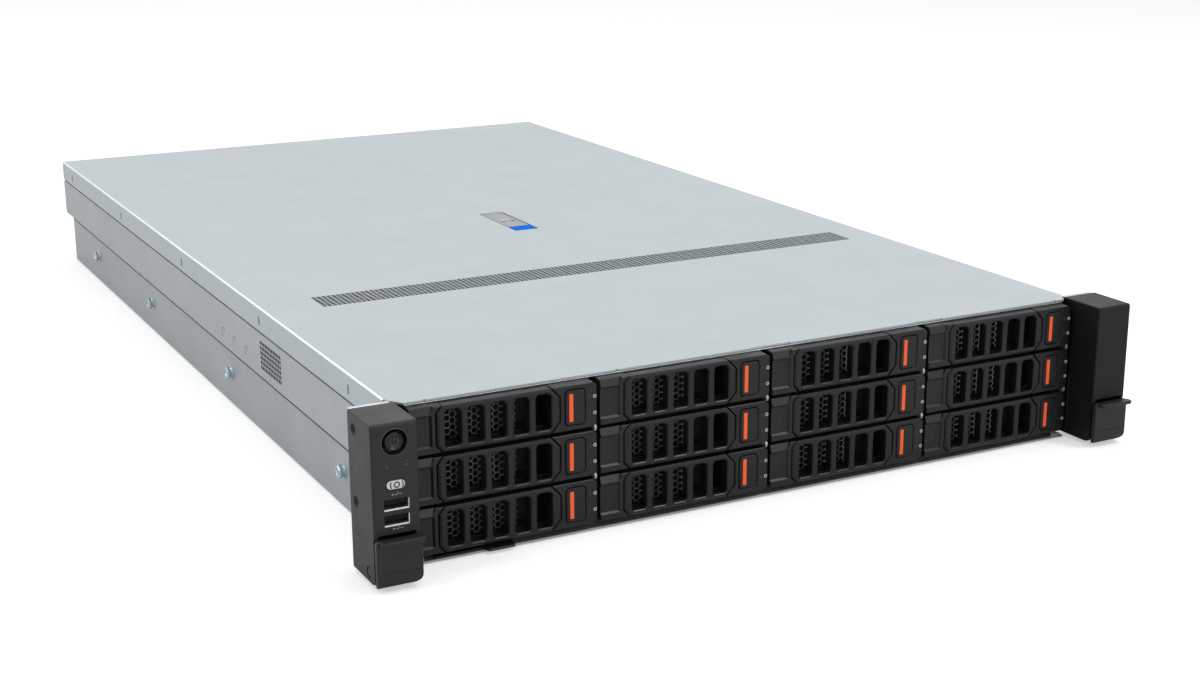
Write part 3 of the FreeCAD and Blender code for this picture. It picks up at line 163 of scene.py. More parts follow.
floor_finish, tree, shader = new_finish("white_painted_floor")
tree.nodes.remove(shader)
seen = add(tree, "LightPath", {}, "Is Camera Ray")
matt = add(tree, "BsdfDiffuse", {"Color": linear("#EDEDED")})
dark = add(tree, "Emission", {"Color": BLACK, "Strength": 0.0})
glow = add(tree, "Emission", {"Color": WHITE, "Strength": 0.45})
lift = add(tree, "MixShader", {0: seen, 1: dark, 2: glow})
feed(tree.nodes["Material Output"], {"Surface": add(tree, "AddShader", {0: matt, 1: lift})})
plane = bmesh.new()
bmesh.ops.create_grid(plane, x_segments=2, y_segments=2, size=FLOOR_HALF)
bmesh.ops.translate(plane, vec=(0, 0, -FLOOR_DROP), verts=plane.verts)
mesh = bpy.data.meshes.new("floor")
plane.to_mesh(mesh)
floor = bpy.data.objects.new("floor", mesh)
scene.collection.objects.link(floor)
mesh.materials.append(floor_finish)
floor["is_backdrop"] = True

# %% [markdown]
# ## Zinc-coated sheet steel
# The chassis and cover are electro-galvanised sheet, passivated and left bare. The zinc grows in
# patches a few centimetres across that differ by a few percent in shade, and a fine crystal grain
# breaks up the reflections, so the sheet looks satin, not mirror-like. The grain is drawn at 1.5 mm,
# coarser than the real 0.2 mm, because finer would not show.
# %% Zinc-coated sheet steel
def bare_metal(name, pale, deep, metal, rough, patch=34, grain=1.5):
    """Passivated zinc and other bare metal: close greys in soft patches, and a fine satin grain."""
    material, tree, shader = new_finish(name)
    where = add(tree, "TexCoord", {}, "Object")
    patches = add(tree, "TexNoise", {"Vector": where, "Scale": 1 / (patch * MM), "Detail": 3.0,
                                     "Roughness": 0.55})
    spread = add(tree, "MapRange", {"Value": patches, "From Min": 0.3, "From Max": 0.7})
    colour = add(tree, "Mix", {0: spread, 6: linear(deep), 7: linear(pale)}, 2, data_type="RGBA")
    crystal = add(tree, "TexNoise", {"Vector": where, "Scale": 1 / (grain * MM), "Detail": 2.0})
    satin = add(tree, "MapRange", {"Value": crystal, "From Min": 0.3, "From Max": 0.7,
                                   "To Min": rough - 0.04, "To Max": rough + 0.05})
    relief = add(tree, "Bump", {"Strength": 0.25, "Distance": 0.03 * MM, "Height": crystal})
    feed(shader, {"Base Color": colour, "Metallic": metal, "Roughness": satin, "Normal": relief})
    return material


cover_zinc = bare_metal("zinc_coated_steel_cover", "#BCC5C9", "#B7C0C4", 0.35, 0.40)
wall_zinc = bare_metal("zinc_coated_steel_chassis", "#B4B8BB", "#ACB1B4", 0.35, 0.46)
inner_zinc = bare_metal("zinc_coated_steel_inside", "#9FA5A8", "#949A9E", 0.5, 0.4)
comb_steel = bare_metal("nickel_plated_mesh", "#838587", "#6C6E70", 0.5, 0.4, 9, 0.8)
stud_zinc = bare_metal("blue_zinc_plated_steel", "#D5E2E8", "#A9BEC8", 0.9, 0.22, 5, 0.6)
bright_tin = bare_metal("tin_plated_steel", "#DADCDD", "#C4C7C9", 0.85, 0.24, 6, 0.7)
# Near-white tin for the port lips: the pale colour is a painted highlight on the lit inner edges.
lip_highlight_tin = bare_metal("tin_painted_lip_highlight", "#F0F1F1", "#E2E3E4", 0.2, 0.35, 6, 0.7)
# Dark grey for the cover stakes, side cuts and slots: painted shade of their dimples and slits.
shade_grey_zinc = bare_metal("zinc_sheet_painted_shade", "#858A8D", "#767B7E", 0.4, 0.5, 6, 0.8)
# Paler, smoother zinc for the cover's folds: the pale colour is a painted highlight along the bends.
fold_highlight_zinc = bare_metal("zinc_sheet_painted_fold_highlight", "#E9EDEF", "#DDE2E5", 0.8, 0.3, 20)
supply_case = bare_metal("zinc_coated_supply_case", "#AEB3B6", "#A3A8AB", 0.45, 0.42, 20)
drive_grey = bare_metal("cast_aluminium_drive_case", "#7F8284", "#6E7173", 0.7, 0.45, 12, 1.2)
print("metal finishes", len(bpy.data.materials))

# %% [markdown]
# ## Moulded plastics
# Bezels, levers, ears and latches are black ABS from a spark-eroded mould: the tool leaves a fine
# matt grain of about a quarter millimetre that scatters highlights. It is drawn at 0.8 mm so that it
# shows. The coloured touch points are the same plastic with a smoother skin, and the ring round the
# power button has a clear lacquer. Printed inks, labels and the black sheets of painted shade share the
# same short graph. The right ear's darker, less shiny copy of the ear plastic is painted shade.
# %% Moulded plastics
ABS_IOR = 1.53


def moulded_plastic(name, pale, deep, rough, depth=0.03, specular=0.25):
    """ABS from a grained mould: a nearly even colour, a matt grain, and shinier worn patches."""
    material, tree, shader = new_finish(name)
    where = add(tree, "TexCoord", {}, "Object")
    drift = add(tree, "TexNoise", {"Vector": where, "Scale": 1 / (18 * MM), "Detail": 2.0})
    colour = add(tree, "Mix", {0: drift, 6: linear(deep), 7: linear(pale)}, 2, data_type="RGBA")
    erosion = add(tree, "TexNoise", {"Vector": where, "Scale": 1 / (0.8 * MM), "Detail": 3.0,
                                     "Roughness": 0.65})
    worn = add(tree, "MapRange", {"Value": drift, "From Min": 0.3, "From Max": 0.75,
                                  "To Min": rough + 0.04, "To Max": rough - 0.05})
    relief = add(tree, "Bump", {"Strength": 0.3, "Distance": depth * MM, "Height": erosion})
    feed(shader, {"Base Color": colour, "Roughness": worn, "Normal": relief, "IOR": ABS_IOR,
                  "Specular IOR Level": specular})
    return material


bezel_black = moulded_plastic("black_grained_ABS_bezel", "#1E1E20", "#19191B", 0.36)
lever_black = moulded_plastic("black_grained_ABS_lever", "#1F1F21", "#1A1A1C", 0.33)
ear_black = moulded_plastic("black_grained_ABS_ear", "#28282A", "#222224", 0.40)
# The right ear's plastic is a darker, less shiny copy of the ear's: painted shade.
shaded_right_ear_black = moulded_plastic("black_ABS_right_ear_painted_shade", "#1B1B1D", "#161618", 0.42,
                                  specular=0.16)
gloss_black = moulded_plastic("black_polished_ABS", "#1E1E20", "#161618", 0.16, 0.005)
ring_black = moulded_plastic("black_lacquered_ring", "#1E1E20", "#161618", 0.2, 0.002, 0.8)
feed(ring_black.node_tree.nodes["Principled BSDF"], {"Coat Weight": 1.0, "Coat Roughness": 0.12})
button_orange = moulded_plastic("orange_ABS_insert", "#FF6A36", "#F65F2C", 0.38, 0.01)
press_blue = moulded_plastic("blue_ABS_press_end", "#0072E8", "#0069DC", 0.6, 0.01, specular=0.03)
latch_grey = moulded_plastic("grey_ABS_latch_handle", "#A2A6A9", "#999DA0", 0.4, 0.01)
silver_plastic = moulded_plastic("silver_painted_ABS", "#D8D8D5", "#C6C6C3", 0.3, 0.008)
guide_grey = moulded_plastic("frosted_polycarbonate_light_guide", "#C6C6C3", "#B2B2AF", 0.4, 0.01)
lamp_green = moulded_plastic("green_lamp_lens", "#3FA35C", "#38964F", 0.3, 0.002)
white_ink = moulded_plastic("white_pad_printed_ink", "#E4E6E6", "#D8DADA", 0.5, 0.002)
mark_grey = moulded_plastic("grey_pad_printed_ink", "#8F9193", "#7E8082", 0.5, 0.002)
dark_grey = moulded_plastic("dark_grey_pad_printed_ink", "#4C4D4F", "#424345", 0.45, 0.002)
# This black ink also paints the dark strips of painted shade under the band and the cover's lip.
dark_ink_and_shade = moulded_plastic("black_print_ink_and_painted_shade", "#232325", "#1A1A1C", 0.5, 0.002)
label_white = moulded_plastic("white_paper_label", "#D8D8D4", "#CFCFCB", 0.6, 0.003)
# Black for the sheets of painted shade behind the vents, in the bays and in the ports, and for the
# ports' real black tongues.
shade_and_tongue_black = moulded_plastic("black_painted_shade_and_port_tongue", "#101011", "#0C0C0D", 0.85, 0.05)
fan_black = moulded_plastic("black_glass_filled_PBT", "#2A2A2B", "#212122", 0.5)
print("finishes with the plastics", len(bpy.data.materials))

# %% [markdown]
# ## Circuit board
# A board is glass fibre under a solder mask: dark green, with slightly paler lines where copper runs
# beneath it. Two sets of bands, one along and one across, stand for groups of those lines about
# 16 mm apart, and noise breaks them up so that they start and stop. The main board is one solid with
# its sockets, memory modules and heat sinks, so its finish goes by place: each kind of part has its
# own colour.
# %% Circuit board
TRACE_PITCH, CHIP_PITCH, CHIP_SHARE = 15.708, 14, 0.72
WAVE_TURN = 20.0  # radians that a wave texture turns through in one of its own units


def solder_mask(name, over_copper, over_fibre, rough):
    """Solder mask over copper traces that run both ways."""
    material, tree, shader = new_finish(name)
    where = add(tree, "TexCoord", {}, "Object")
    scale = math.tau / (WAVE_TURN * TRACE_PITCH * MM)
    bands = {"Vector": where, "Scale": scale, "Distortion": 0.0}
    along, across = (add(tree, "TexWave", bands, "Fac", bands_direction=axis) for axis in "XY")
    regions = add(tree, "TexNoise", {"Vector": where, "Scale": 1 / (14 * MM), "Detail": 1.0})
    choose = add(tree, "Math", {0: regions, 1: 0.5}, operation="GREATER_THAN")
    lines = add(tree, "Mix", {0: choose, 2: along, 3: across}, data_type="FLOAT")
    trace = add(tree, "Math", {0: lines, 1: 0.72}, operation="GREATER_THAN")
    colour = add(tree, "Mix", {0: trace, 6: linear(over_fibre), 7: linear(over_copper)}, 2,
                 data_type="RGBA")
    relief = add(tree, "Bump", {"Strength": 0.4, "Distance": 0.04 * MM, "Height": trace})
    feed(shader, {"Base Color": colour, "Roughness": rough, "Normal": relief})
    return material


def populated_board(name, sink_x, sink_y):
    """A populated board, finished by place: mask, sockets, chips, ports and aluminium heat sinks."""
    material, tree, shader = new_finish(name)
    where = add(tree, "TexCoord", {}, "Object")
    x, y, z = add(tree, "SeparateXYZ", {0: where}).node.outputs
    x = add(tree, "Math", {0: x}, operation="ABSOLUTE")
    grain = add(tree, "TexNoise", {"Vector": where, "Scale": 1 / (3 * MM), "Detail": 2.0})
    stretch = add(tree, "Math", {0: y, 1: CHIP_PITCH * MM}, operation="DIVIDE")
    repeat = add(tree, "Math", {0: stretch}, operation="FRACT")
    row = add(tree, "Math", {0: repeat, 1: CHIP_SHARE}, operation="LESS_THAN")
    colour = add(tree, "Mix", {0: grain, 6: linear("#1D4A30"), 7: linear("#2C6A43")}, 2,
                 data_type="RGBA")
    # colour, a first mask, and the spans a part lies in: the middle and half of each, in millimetres
    sockets = ("#1B1B1D", 1.0, ((z, 10.7, 3.0),))
    chips = ("#202022", row, ((z, 26.0, 6.5),))
    ports = ("#18181A", 1.0, ((y, 748.0, 11.0), (z, 16.0, 8.4)))
    sinks = ("#B9BCBE", 1.0, ((x, sink_x, 39.6), (y, sink_y, 55.0), (z, 43.0, 28.4)))
    for code, chosen, spans in (sockets, chips, ports, sinks):
        for value, middle, half in spans:
            inside = add(tree, "Math", {0: value, 1: middle * MM, 2: half * MM}, operation="COMPARE")
            chosen = add(tree, "Math", {0: chosen, 1: inside}, operation="MULTIPLY")
        colour = add(tree, "Mix", {0: chosen, 6: colour, 7: linear(code)}, 2, data_type="RGBA")
    satin = add(tree, "MapRange", {"Value": grain, "To Min": 0.3, "To Max": 0.45})
    # the last mask is the heat sinks' own, and only they are bare metal
    feed(shader, {"Base Color": colour, "Metallic": chosen, "Roughness": satin})
    return material


board_green = solder_mask("green_solder_mask_board", "#2F6B43", "#1F4F33", 0.32)
board_parts = populated_board("populated_board", sink_x=75.0, sink_y=372.0)
print("board finishes", board_green.name, board_parts.name)

# %% [markdown]
# ## Outlines
# Nearly every part here is a moulding or a folded sheet, so it is drawn as an outline and given depth.
# Corners are cut or rounded here, and an outline can be grown so that its corners stay sharp.
# %% Outlines
def cornered(left, right, low, high, cuts=(0, 0, 0, 0), steps=1):
    """A rectangle, its corners cut straight or rounded in steps, from the lower left one round."""
    places = ((left, low), (right, low), (right, high), (left, high))
    corners = []
    for (u, v), (du, dv), cut, start in zip(places, ((1, 1), (-1, 1), (-1, -1), (1, -1)), cuts,
                                            (180, 270, 0, 90)):
        across, up = cut if isinstance(cut, tuple) else (cut, cut)
        if not across:
            corners.append((u, v))
            continue
        for step in range(steps + 1):
            angle = math.radians(start + 90 * step / steps)
            corners.append((u + du * across + across * math.cos(angle),
                            v + dv * up + up * math.sin(angle)))
    return corners


def centred(u, v, half_u, half_v, cut=0, steps=1):
    """A rectangle round a middle, its four corners cut alike."""
    return cornered(u - half_u, u + half_u, v - half_v, v + half_v, (cut,) * 4, steps)


def circle(u, v, radius, steps=32, turn=0.0):
    """A round outline, or a hexagon and the like with few steps."""
    return [(u + radius * math.cos(turn + math.tau * step / steps),
             v + radius * math.sin(turn + math.tau * step / steps)) for step in range(steps)]


def grown(outline, distance):
    """The outline moved outwards by a distance, with its corners kept sharp."""
    points = [Vector(point) for point in outline]
    pairs = list(zip(points, points[1:] + points[:1]))
    side = 1 if sum(a.x * b.y - b.x * a.y for a, b in pairs) > 0 else -1
    outwards = [Vector((b - a).normalized().yx) * side for a, b in pairs]
    for out in outwards:
        out.y = -out.y
    moved = []
    for point, one, two in zip(points, outwards[-1:] + outwards[:-1], outwards):
        moved.append(tuple(point + (one + two) / (1 + one.dot(two)) * distance))
    return moved


def ring(bm, outline, place, axis="Y"):
    """The outline as a closed loop of edges, in the plane across an axis."""
    spot = {"X": lambda u, v: (place, u, v),
            "Y": lambda u, v: (u, place, v), "Z": lambda u, v: (u, v, place)}
    corners = [bm.verts.new(spot[axis](u, v)) for u, v in outline]
    return [bm.edges.new(pair) for pair in zip(corners, corners[1:] + corners[:1])]


print("a cut outline", cornered(0, 10, 0, 4, cuts=(1, 1, 1, 1)))

# %% [markdown]
# ## Forms from outlines
# For a moulding an outline is repeated at several levels, a little larger or smaller at each, and the
# loops are bridged: this gives chamfers and flared mouths without any clean-up. Holes are carved with
# the same kind of form used as a cutter. A block is a softened box, and a bent rod is a round bar on
# an arc. What lies alike on both sides is placed by its distance from the middle.
# %% Forms from outlines
def moulding(outline, levels, axis="Y"):
    """A closed form: the outline at each (place, growth), bridged and capped."""
    bm = bmesh.new()
    loops = [ring(bm, grown(outline, growth), place, axis) for place, growth in levels]
    for near, far in zip(loops, loops[1:]):
        bmesh.ops.bridge_loops(bm, edges=near + far)
    for end in (loops[0], loops[-1]):
        bmesh.ops.edgeloop_fill(bm, edges=end)
    bmesh.ops.recalc_face_normals(bm, faces=bm.faces[:])
    return bm


def side_moulding(side, outline, levels):
    """A moulding across X on one side; its places are distances from the middle."""
    return moulding(outline, [(side * place, growth) for place, growth in levels], "X")


def block(left, right, near, far, low, high, soft=0.3):
    """A box with softened edges."""
    bm = bmesh.new()
    bmesh.ops.create_cube(bm, size=1)
    bmesh.ops.scale(bm, vec=(right - left, far - near, high - low), verts=bm.verts)
    bmesh.ops.translate(bm, vec=((left + right) / 2, (near + far) / 2, (low + high) / 2), verts=bm.verts)
    bmesh.ops.bevel(bm, geom=bm.edges[:], offset=soft, segments=2, profile=0.5,
                    affect="EDGES", material=-1)
    return bm


def side_block(side, inner, outer, *rest):
    """A softened box on one side, between two distances from the middle."""
    return block(*sorted((side * inner, side * outer)), *rest)


def bent_rod(radius, rod, place, start=0, sweep=360, steps=24, sides=8, faces="Y", flat=1.0):
    """A rod bent on an arc that faces an axis; angles run from the first direction up to the second."""
    bm = bmesh.new()
    bmesh.ops.create_circle(bm, segments=sides, radius=rod)
    bmesh.ops.scale(bm, vec=(1, flat, 1), verts=bm.verts)
    bmesh.ops.translate(bm, vec=(radius, 0, 0), verts=bm.verts)
    turn = Matrix.Rotation(-math.radians(start), 3, "Y")
    bmesh.ops.rotate(bm, cent=(0, 0, 0), matrix=turn, verts=bm.verts)
    bmesh.ops.spin(bm, geom=bm.verts[:] + bm.edges[:], cent=(0, 0, 0), axis=(0, -1, 0),
                   angle=math.radians(sweep), steps=steps, use_merge=sweep == 360)
    bmesh.ops.holes_fill(bm, edges=bm.edges[:])
    turn = {"X": Matrix.Rotation(math.pi / 2, 3, "Z"), "Y": Matrix.Identity(3),
            "Z": Matrix.Rotation(-math.pi / 2, 3, "X")}[faces]
    bmesh.ops.rotate(bm, cent=(0, 0, 0), matrix=turn, verts=bm.verts)
    bmesh.ops.translate(bm, vec=place, verts=bm.verts)
    bmesh.ops.recalc_face_normals(bm, faces=bm.faces[:])
    return bm


print("faces of a soft block", len(block(0, 10, 0, 10, 0, 10).faces))

# %% [markdown]
# ## Joining, carving and drawing out
# Small parts are joined into one mesh. An opening is carved with a boolean cut, because a moulding's
# pocket has clean walls and a sharp rim, and the cutter's flared mouth leaves a chamfer there. A sheet
# is drawn out from its edges, as a folded lip is.
# %% Joining, carving and drawing out
def together(*parts):
    """Several forms in one mesh."""
    whole = bmesh.new()
    for part in parts:
        mesh = bpy.data.meshes.new("part")
        part.to_mesh(mesh)
        whole.from_mesh(mesh)
        bpy.data.meshes.remove(mesh)
    return whole


def carved(body, *cutters):
    """The body with the cutters taken away."""
    things = []
    for name, bm in (("body", body), ("cutter", together(*cutters))):
        mesh = bpy.data.meshes.new(name)
        bm.to_mesh(mesh)
        things.append(bpy.data.objects.new(name, mesh))
        scene.collection.objects.link(things[-1])
    cut = things[0].modifiers.new("cut", "BOOLEAN")
    cut.operation, cut.solver, cut.object = "DIFFERENCE", "EXACT", things[1]
    cut.use_self = True
    made = things[0].evaluated_get(bpy.context.evaluated_depsgraph_get())
    result = bmesh.new()
    result.from_mesh(made.to_mesh())
    made.to_mesh_clear()
    for thing in things:
        mesh = thing.data
        bpy.data.objects.remove(thing)
        bpy.data.meshes.remove(mesh)
    return result


def fresh_verts(made):
    """The vertices among what an operator made."""
    return [item for item in made["geom"] if isinstance(item, bmesh.types.BMVert)]


def drawn_out(bm, edges, by):
    """Draws edges out into new faces."""
    made = bmesh.ops.extrude_edge_only(bm, edges=edges)
    bmesh.ops.translate(bm, vec=by, verts=fresh_verts(made))


print("carved block faces", len(carved(block(0, 10, 0, 10, 0, 10), block(2, 8, -1, 5, 2, 8)).faces))

# %% [markdown]
# ## From a form to a finished piece
# A finished piece is an object at the origin whose mesh already lies where it belongs, in metres. It
# rides on the body it moves with, takes a finish, and may stand in for one or more of the model's own
# nodes.
# %% From a form to a finished piece
def piece(name, forms, finish, body, stands_for=(), shift=(0, 0, 0)):
    """Makes one object of one form or a list, in metres, and ties it to its body and nodes."""
    placed = together(*forms) if isinstance(forms, list) else forms.copy()
    bmesh.ops.translate(placed, vec=shift, verts=placed.verts)
    bmesh.ops.scale(placed, vec=(MM, MM, MM), verts=placed.verts)
    mesh = bpy.data.meshes.new(name)
    placed.to_mesh(mesh)
    placed.free()
    mesh.materials.append(finish)
    thing = bpy.data.objects.new(name, mesh)
    scene.collection.objects.link(thing)
    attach(thing, body)
    if stands_for:
        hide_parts(*stands_for)
    return thing


def box_mm(node):
    """A node's low and high corners, in millimetres."""
    return [tuple(value / MM for value in corner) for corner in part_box(node)]


cover_half, cover_rear, cover_top = box_mm("top_cover")[1]
tub_half, tub_rear, wall_top = box_mm("chassis_tub")[1]
print("cover half width", cover_half, "rear", cover_rear, "top", cover_top, "walls to", wall_top)

# %% [markdown]
# ## Perforated sheet
# The vents are punched in the flat sheet before it is folded: small square holes in rows. A grid gives
# one cell a hole, each cell is inset, and its middle is taken out. A loose ring of edges round the
# field is handed back, so that the sheet is filled up to it; welding then makes the two one surface.
# %% Perforated sheet
SHEET = 1.0
WELD = 1e-3


def perforated(bm, corner, across, up, columns, rows, pitch, hole):
    """Square holes in the plane of two unit directions; gives a ring of edges round the field."""
    grid = bmesh.ops.create_grid(bm, x_segments=columns, y_segments=rows, size=0.5)
    cells = list({face for vert in grid["verts"] for face in vert.link_faces})
    bmesh.ops.translate(bm, vec=(0.5, 0.5, 0), verts=grid["verts"])
    bmesh.ops.scale(bm, vec=(columns * pitch, rows * pitch, 1), verts=grid["verts"])
    rims = bmesh.ops.inset_individual(bm, faces=cells, thickness=(pitch - hole) / 2)["faces"]
    verts = list({vert for face in rims for vert in face.verts})
    bmesh.ops.delete(bm, geom=cells, context="FACES")
    across, up = Vector(across), Vector(up)
    turn = Matrix((across, up, across.cross(up))).transposed().to_4x4()
    bmesh.ops.transform(bm, matrix=Matrix.Translation(corner) @ turn, verts=verts)
    stops = [(column, 0) for column in range(columns)] + [(columns, row) for row in range(rows)]
    stops += [(column, rows) for column in range(columns, 0, -1)]
    stops += [(0, row) for row in range(rows, 0, -1)]
    posts = [bm.verts.new(Vector(corner) + (across * u + up * v) * pitch) for u, v in stops]
    return [bm.edges.new(pair) for pair in zip(posts, posts[1:] + posts[:1])]


def outward(bm, test, direction):
    """Turns the sheet so that the face the test picks looks in the given direction."""
    bmesh.ops.recalc_face_normals(bm, faces=bm.faces[:])
    bm.normal_update()
    face = max(bm.faces, key=test)
    if face.normal.dot(Vector(direction)) < 0:
        bmesh.ops.reverse_faces(bm, faces=bm.faces[:])


def thicken(thing):
    """Gives a sheet its thickness, inwards from its outer face."""
    wall = thing.modifiers.new("sheet", "SOLIDIFY")
    wall.thickness, wall.offset, wall.use_even_offset = SHEET * MM, -1, True


VENT_PITCH, VENT_HOLE, VENT_COLUMNS, VENT_ROWS = 3.1, 2.3, 123, 8
SIDE_PITCH, SIDE_HOLE, SIDE_COLUMNS, SIDE_ROWS = 3.05, 1.95, 13, 6
print("vent: %.0f%% open" % (100 * (VENT_HOLE / VENT_PITCH) ** 2))

# %% [markdown]
# ## Top cover
# The cover is one blank of 1 mm sheet: cut front corners, a strip of vent holes, an opening for the
# latch, and two lips folded down over a small radius. The flat is filled between its outline, the
# opening and the vent, then each long edge is spun through a quarter turn and drawn down. The folds
# take a second finish, smoother and more metallic, whose paler colour is a painted highlight.
# %% Top cover
FOLD, COVER_FRONT, LIP_BOTTOM = 1.2, -5.0, 71.2
CUT_ACROSS, CUT_BACK = 7.2, 10.5
NOTCHES = ((-202.6, -201.4), (-92.8, -91.6), (-8.8, 16.7), (98.2, 121.9), (206.1, 207.3))
NOTCH_DEPTH = 0.9
flat_half = cover_half - FOLD
latch_low, latch_high = box_mm("cover_latch")
opening = cornered(latch_low[0] - 0.4, latch_high[0] + 0.4, latch_low[1] - 0.4, latch_high[1] + 1.4,
                   cuts=(1.6,) * 4, steps=3)
outline = [(-(cover_half - CUT_ACROSS), COVER_FRONT)]
for left, right in NOTCHES:
    outline += [(left, COVER_FRONT), (left, COVER_FRONT + NOTCH_DEPTH),
                (right, COVER_FRONT + NOTCH_DEPTH), (right, COVER_FRONT)]
outline += [(cover_half - CUT_ACROSS, COVER_FRONT)]
lip_front = COVER_FRONT + CUT_BACK
shoulder_y = COVER_FRONT + (CUT_ACROSS - FOLD) * (CUT_BACK / CUT_ACROSS)
outline += [(flat_half, shoulder_y), (flat_half, lip_front), (flat_half, cover_rear),
            (-flat_half, cover_rear), (-flat_half, lip_front), (-flat_half, shoulder_y)]
cover = bmesh.new()
edges = ring(cover, outline, cover_top, "Z") + ring(cover, opening, cover_top, "Z")
vent_left, vent_near = 5 - VENT_COLUMNS * VENT_PITCH / 2, 191.0
edges += perforated(cover, (vent_left, vent_near, cover_top), (1, 0, 0), (0, 1, 0), VENT_COLUMNS,
                    VENT_ROWS, VENT_PITCH, VENT_HOLE)
bmesh.ops.triangle_fill(cover, edges=edges, use_beauty=True)
for side in (-1, 1):
    fold = [edge for edge in cover.edges if all(abs(vert.co.x - side * flat_half) < 1e-4
                                                and vert.co.y > lip_front - 1e-3 for vert in edge.verts)]
    bend = bmesh.ops.spin(cover, geom=fold + list({vert for edge in fold for vert in edge.verts}),
                          cent=(side * flat_half, 0, cover_top - FOLD), axis=(0, 1, 0),
                          angle=side * math.pi / 2, steps=6)
    last = [item for item in bend["geom_last"] if isinstance(item, bmesh.types.BMEdge)]
    drawn_out(cover, last, (0, 0, LIP_BOTTOM - (cover_top - FOLD)))
bmesh.ops.remove_doubles(cover, verts=cover.verts, dist=WELD)
outward(cover, lambda face: face.calc_center_median().z + face.calc_area() * 1e-4, (0, 0, 1))
# Faces on the bends take the paler second finish: a painted highlight along each fold.
for face in cover.faces:
    face.material_index = int(0.1 < abs(face.normal.x) < 0.99)
cover_sheet = piece("cover_sheet", cover, cover_zinc, "top_cover", ["top_cover"])
cover_sheet.data.materials.append(fold_highlight_zinc)
thicken(cover_sheet)
print("cover faces", len(cover.faces), "vent holes", VENT_COLUMNS * VENT_ROWS)

# %% [markdown]
# ## Cover stakes, vent shade and latch dish
# Half-sheared stakes in the lips hook under the chassis edge. From outside each is a shallow upright
# pip, drawn as a low slot-shaped bump whose dark grey is painted shade. A black sheet of painted
# shade right behind the vent holes keeps them dark, and the latch sits in a shallow black tray under
# its opening.
# %% Cover stakes, vent shade and latch dish
STAKES, STAKE_Z = (55, 209, 381, 551, 720), 77.5
stakes = [side_moulding(side, centred(y, STAKE_Z, 1.3, 2.9, 1.25, 4),
                        [(cover_half - 0.5, 0), (cover_half - 0.02, 0), (cover_half + 0.25, -0.45)])
          for y in STAKES for side in (-1, 1)]
piece("cover_stakes", stakes, shade_grey_zinc, "top_cover")
# A black sheet behind the vent holes: painted shade that keeps them dark.
vent_shade = block(vent_left + 0.2, vent_left + VENT_COLUMNS * VENT_PITCH - 0.2, vent_near + 0.2, 215.6,
             cover_top - 1.4, cover_top - 0.1, 0.05)
piece("vent_painted_shade", vent_shade, shade_and_tongue_black, "top_cover")
dish = carved(moulding(grown(opening, 0.8), [(76.0, -1.2), (77.2, 0), (cover_top - SHEET, 0)], "Z"),
              moulding(opening, [(76.8, -1.2), (78.0, 0), (cover_top, 0)], "Z"))
pin_y, pin_z = latch_high[1] - 2.0, cover_top - 2.2
pin = moulding(circle(pin_y, pin_z, 1.0, 16), [(latch_low[0] - 0.3, 0), (latch_high[0] + 0.3, 0)], "X")
piece("latch_dish", [dish, pin], bezel_black, "top_cover")
print("stakes", len(stakes), "latch pin at", pin_y, pin_z)

# %% [markdown]
# ## Cover latch
# A flush grey handle with a blue end: press the blue end down and the handle tips up. It is set in its
# opening with a dark gap all round, which is what draws its outline. The sign on it is a generic lift
# sign: a white arch between two dark points, pad printed.
# %% Cover latch
PRESS_LENGTH, LATCH_THICK = 13.5, 2.4
plate_left, plate_right = latch_low[0] + 0.6, latch_high[0] - 0.6
fore, rear = latch_low[1] + 0.4, latch_high[1]
blue_end, plate_low = fore + PRESS_LENGTH, cover_top - LATCH_THICK
hollow = cornered(plate_left + 2.0, plate_right - 2.0, blue_end + 3, rear - 5, cuts=(1.5,) * 4, steps=3)
handle = carved(block(plate_left, plate_right, blue_end + 0.1, rear, plate_low, cover_top, 0.6),
                moulding(hollow, [(cover_top - 0.3, -0.5), (cover_top, 0), (cover_top + 1, 0)], "Z"))
eye = moulding(circle(pin_y, pin_z, 2.2, 20), [(plate_left, -0.3), (plate_left + 0.3, 0),
                                               (plate_right - 0.3, 0), (plate_right, -0.3)], "X")
piece("cover_latch_handle", [handle, eye], latch_grey, "cover_latch",
      ["cover_latch"])
press = block(plate_left, plate_right, fore, blue_end, plate_low, cover_top, 0.5)
ribs = [block(plate_left + 3, plate_right - 3, fore + 3 + 2.4 * rank, fore + 4.2 + 2.4 * rank,
              cover_top - 0.6, cover_top + 0.02, 0.25) for rank in range(3)]
piece("cover_latch_press_end", [press, *ribs], press_blue, "cover_latch")
middle, sign_y = (plate_left + plate_right) / 2, (blue_end + rear) / 2 - 6
sign_place = (middle, sign_y, cover_top - 0.3)
arch = bent_rod(4.0, 0.95, sign_place, 25, 130, 12, faces="Z", flat=0.3)
piece("cover_latch_arch", arch, white_ink, "cover_latch")
under = bent_rod(2.6, 0.5, sign_place, 20, 140, 12, faces="Z", flat=0.4)
feet = [moulding([(middle + 4.4 * side, sign_y + 2.2), (middle + 1.9 * side, sign_y + 1.0),
                  (middle + 5.2 * side, sign_y - 0.8)],
                 [(cover_top - 0.6, 0), (cover_top - 0.15, 0)], "Z")
        for side in (-1, 1)]
piece("cover_latch_arrow", [under, *feet], dark_ink_and_shade, "cover_latch")
print("latch", rear - fore, "mm long, blue end", blue_end - fore)

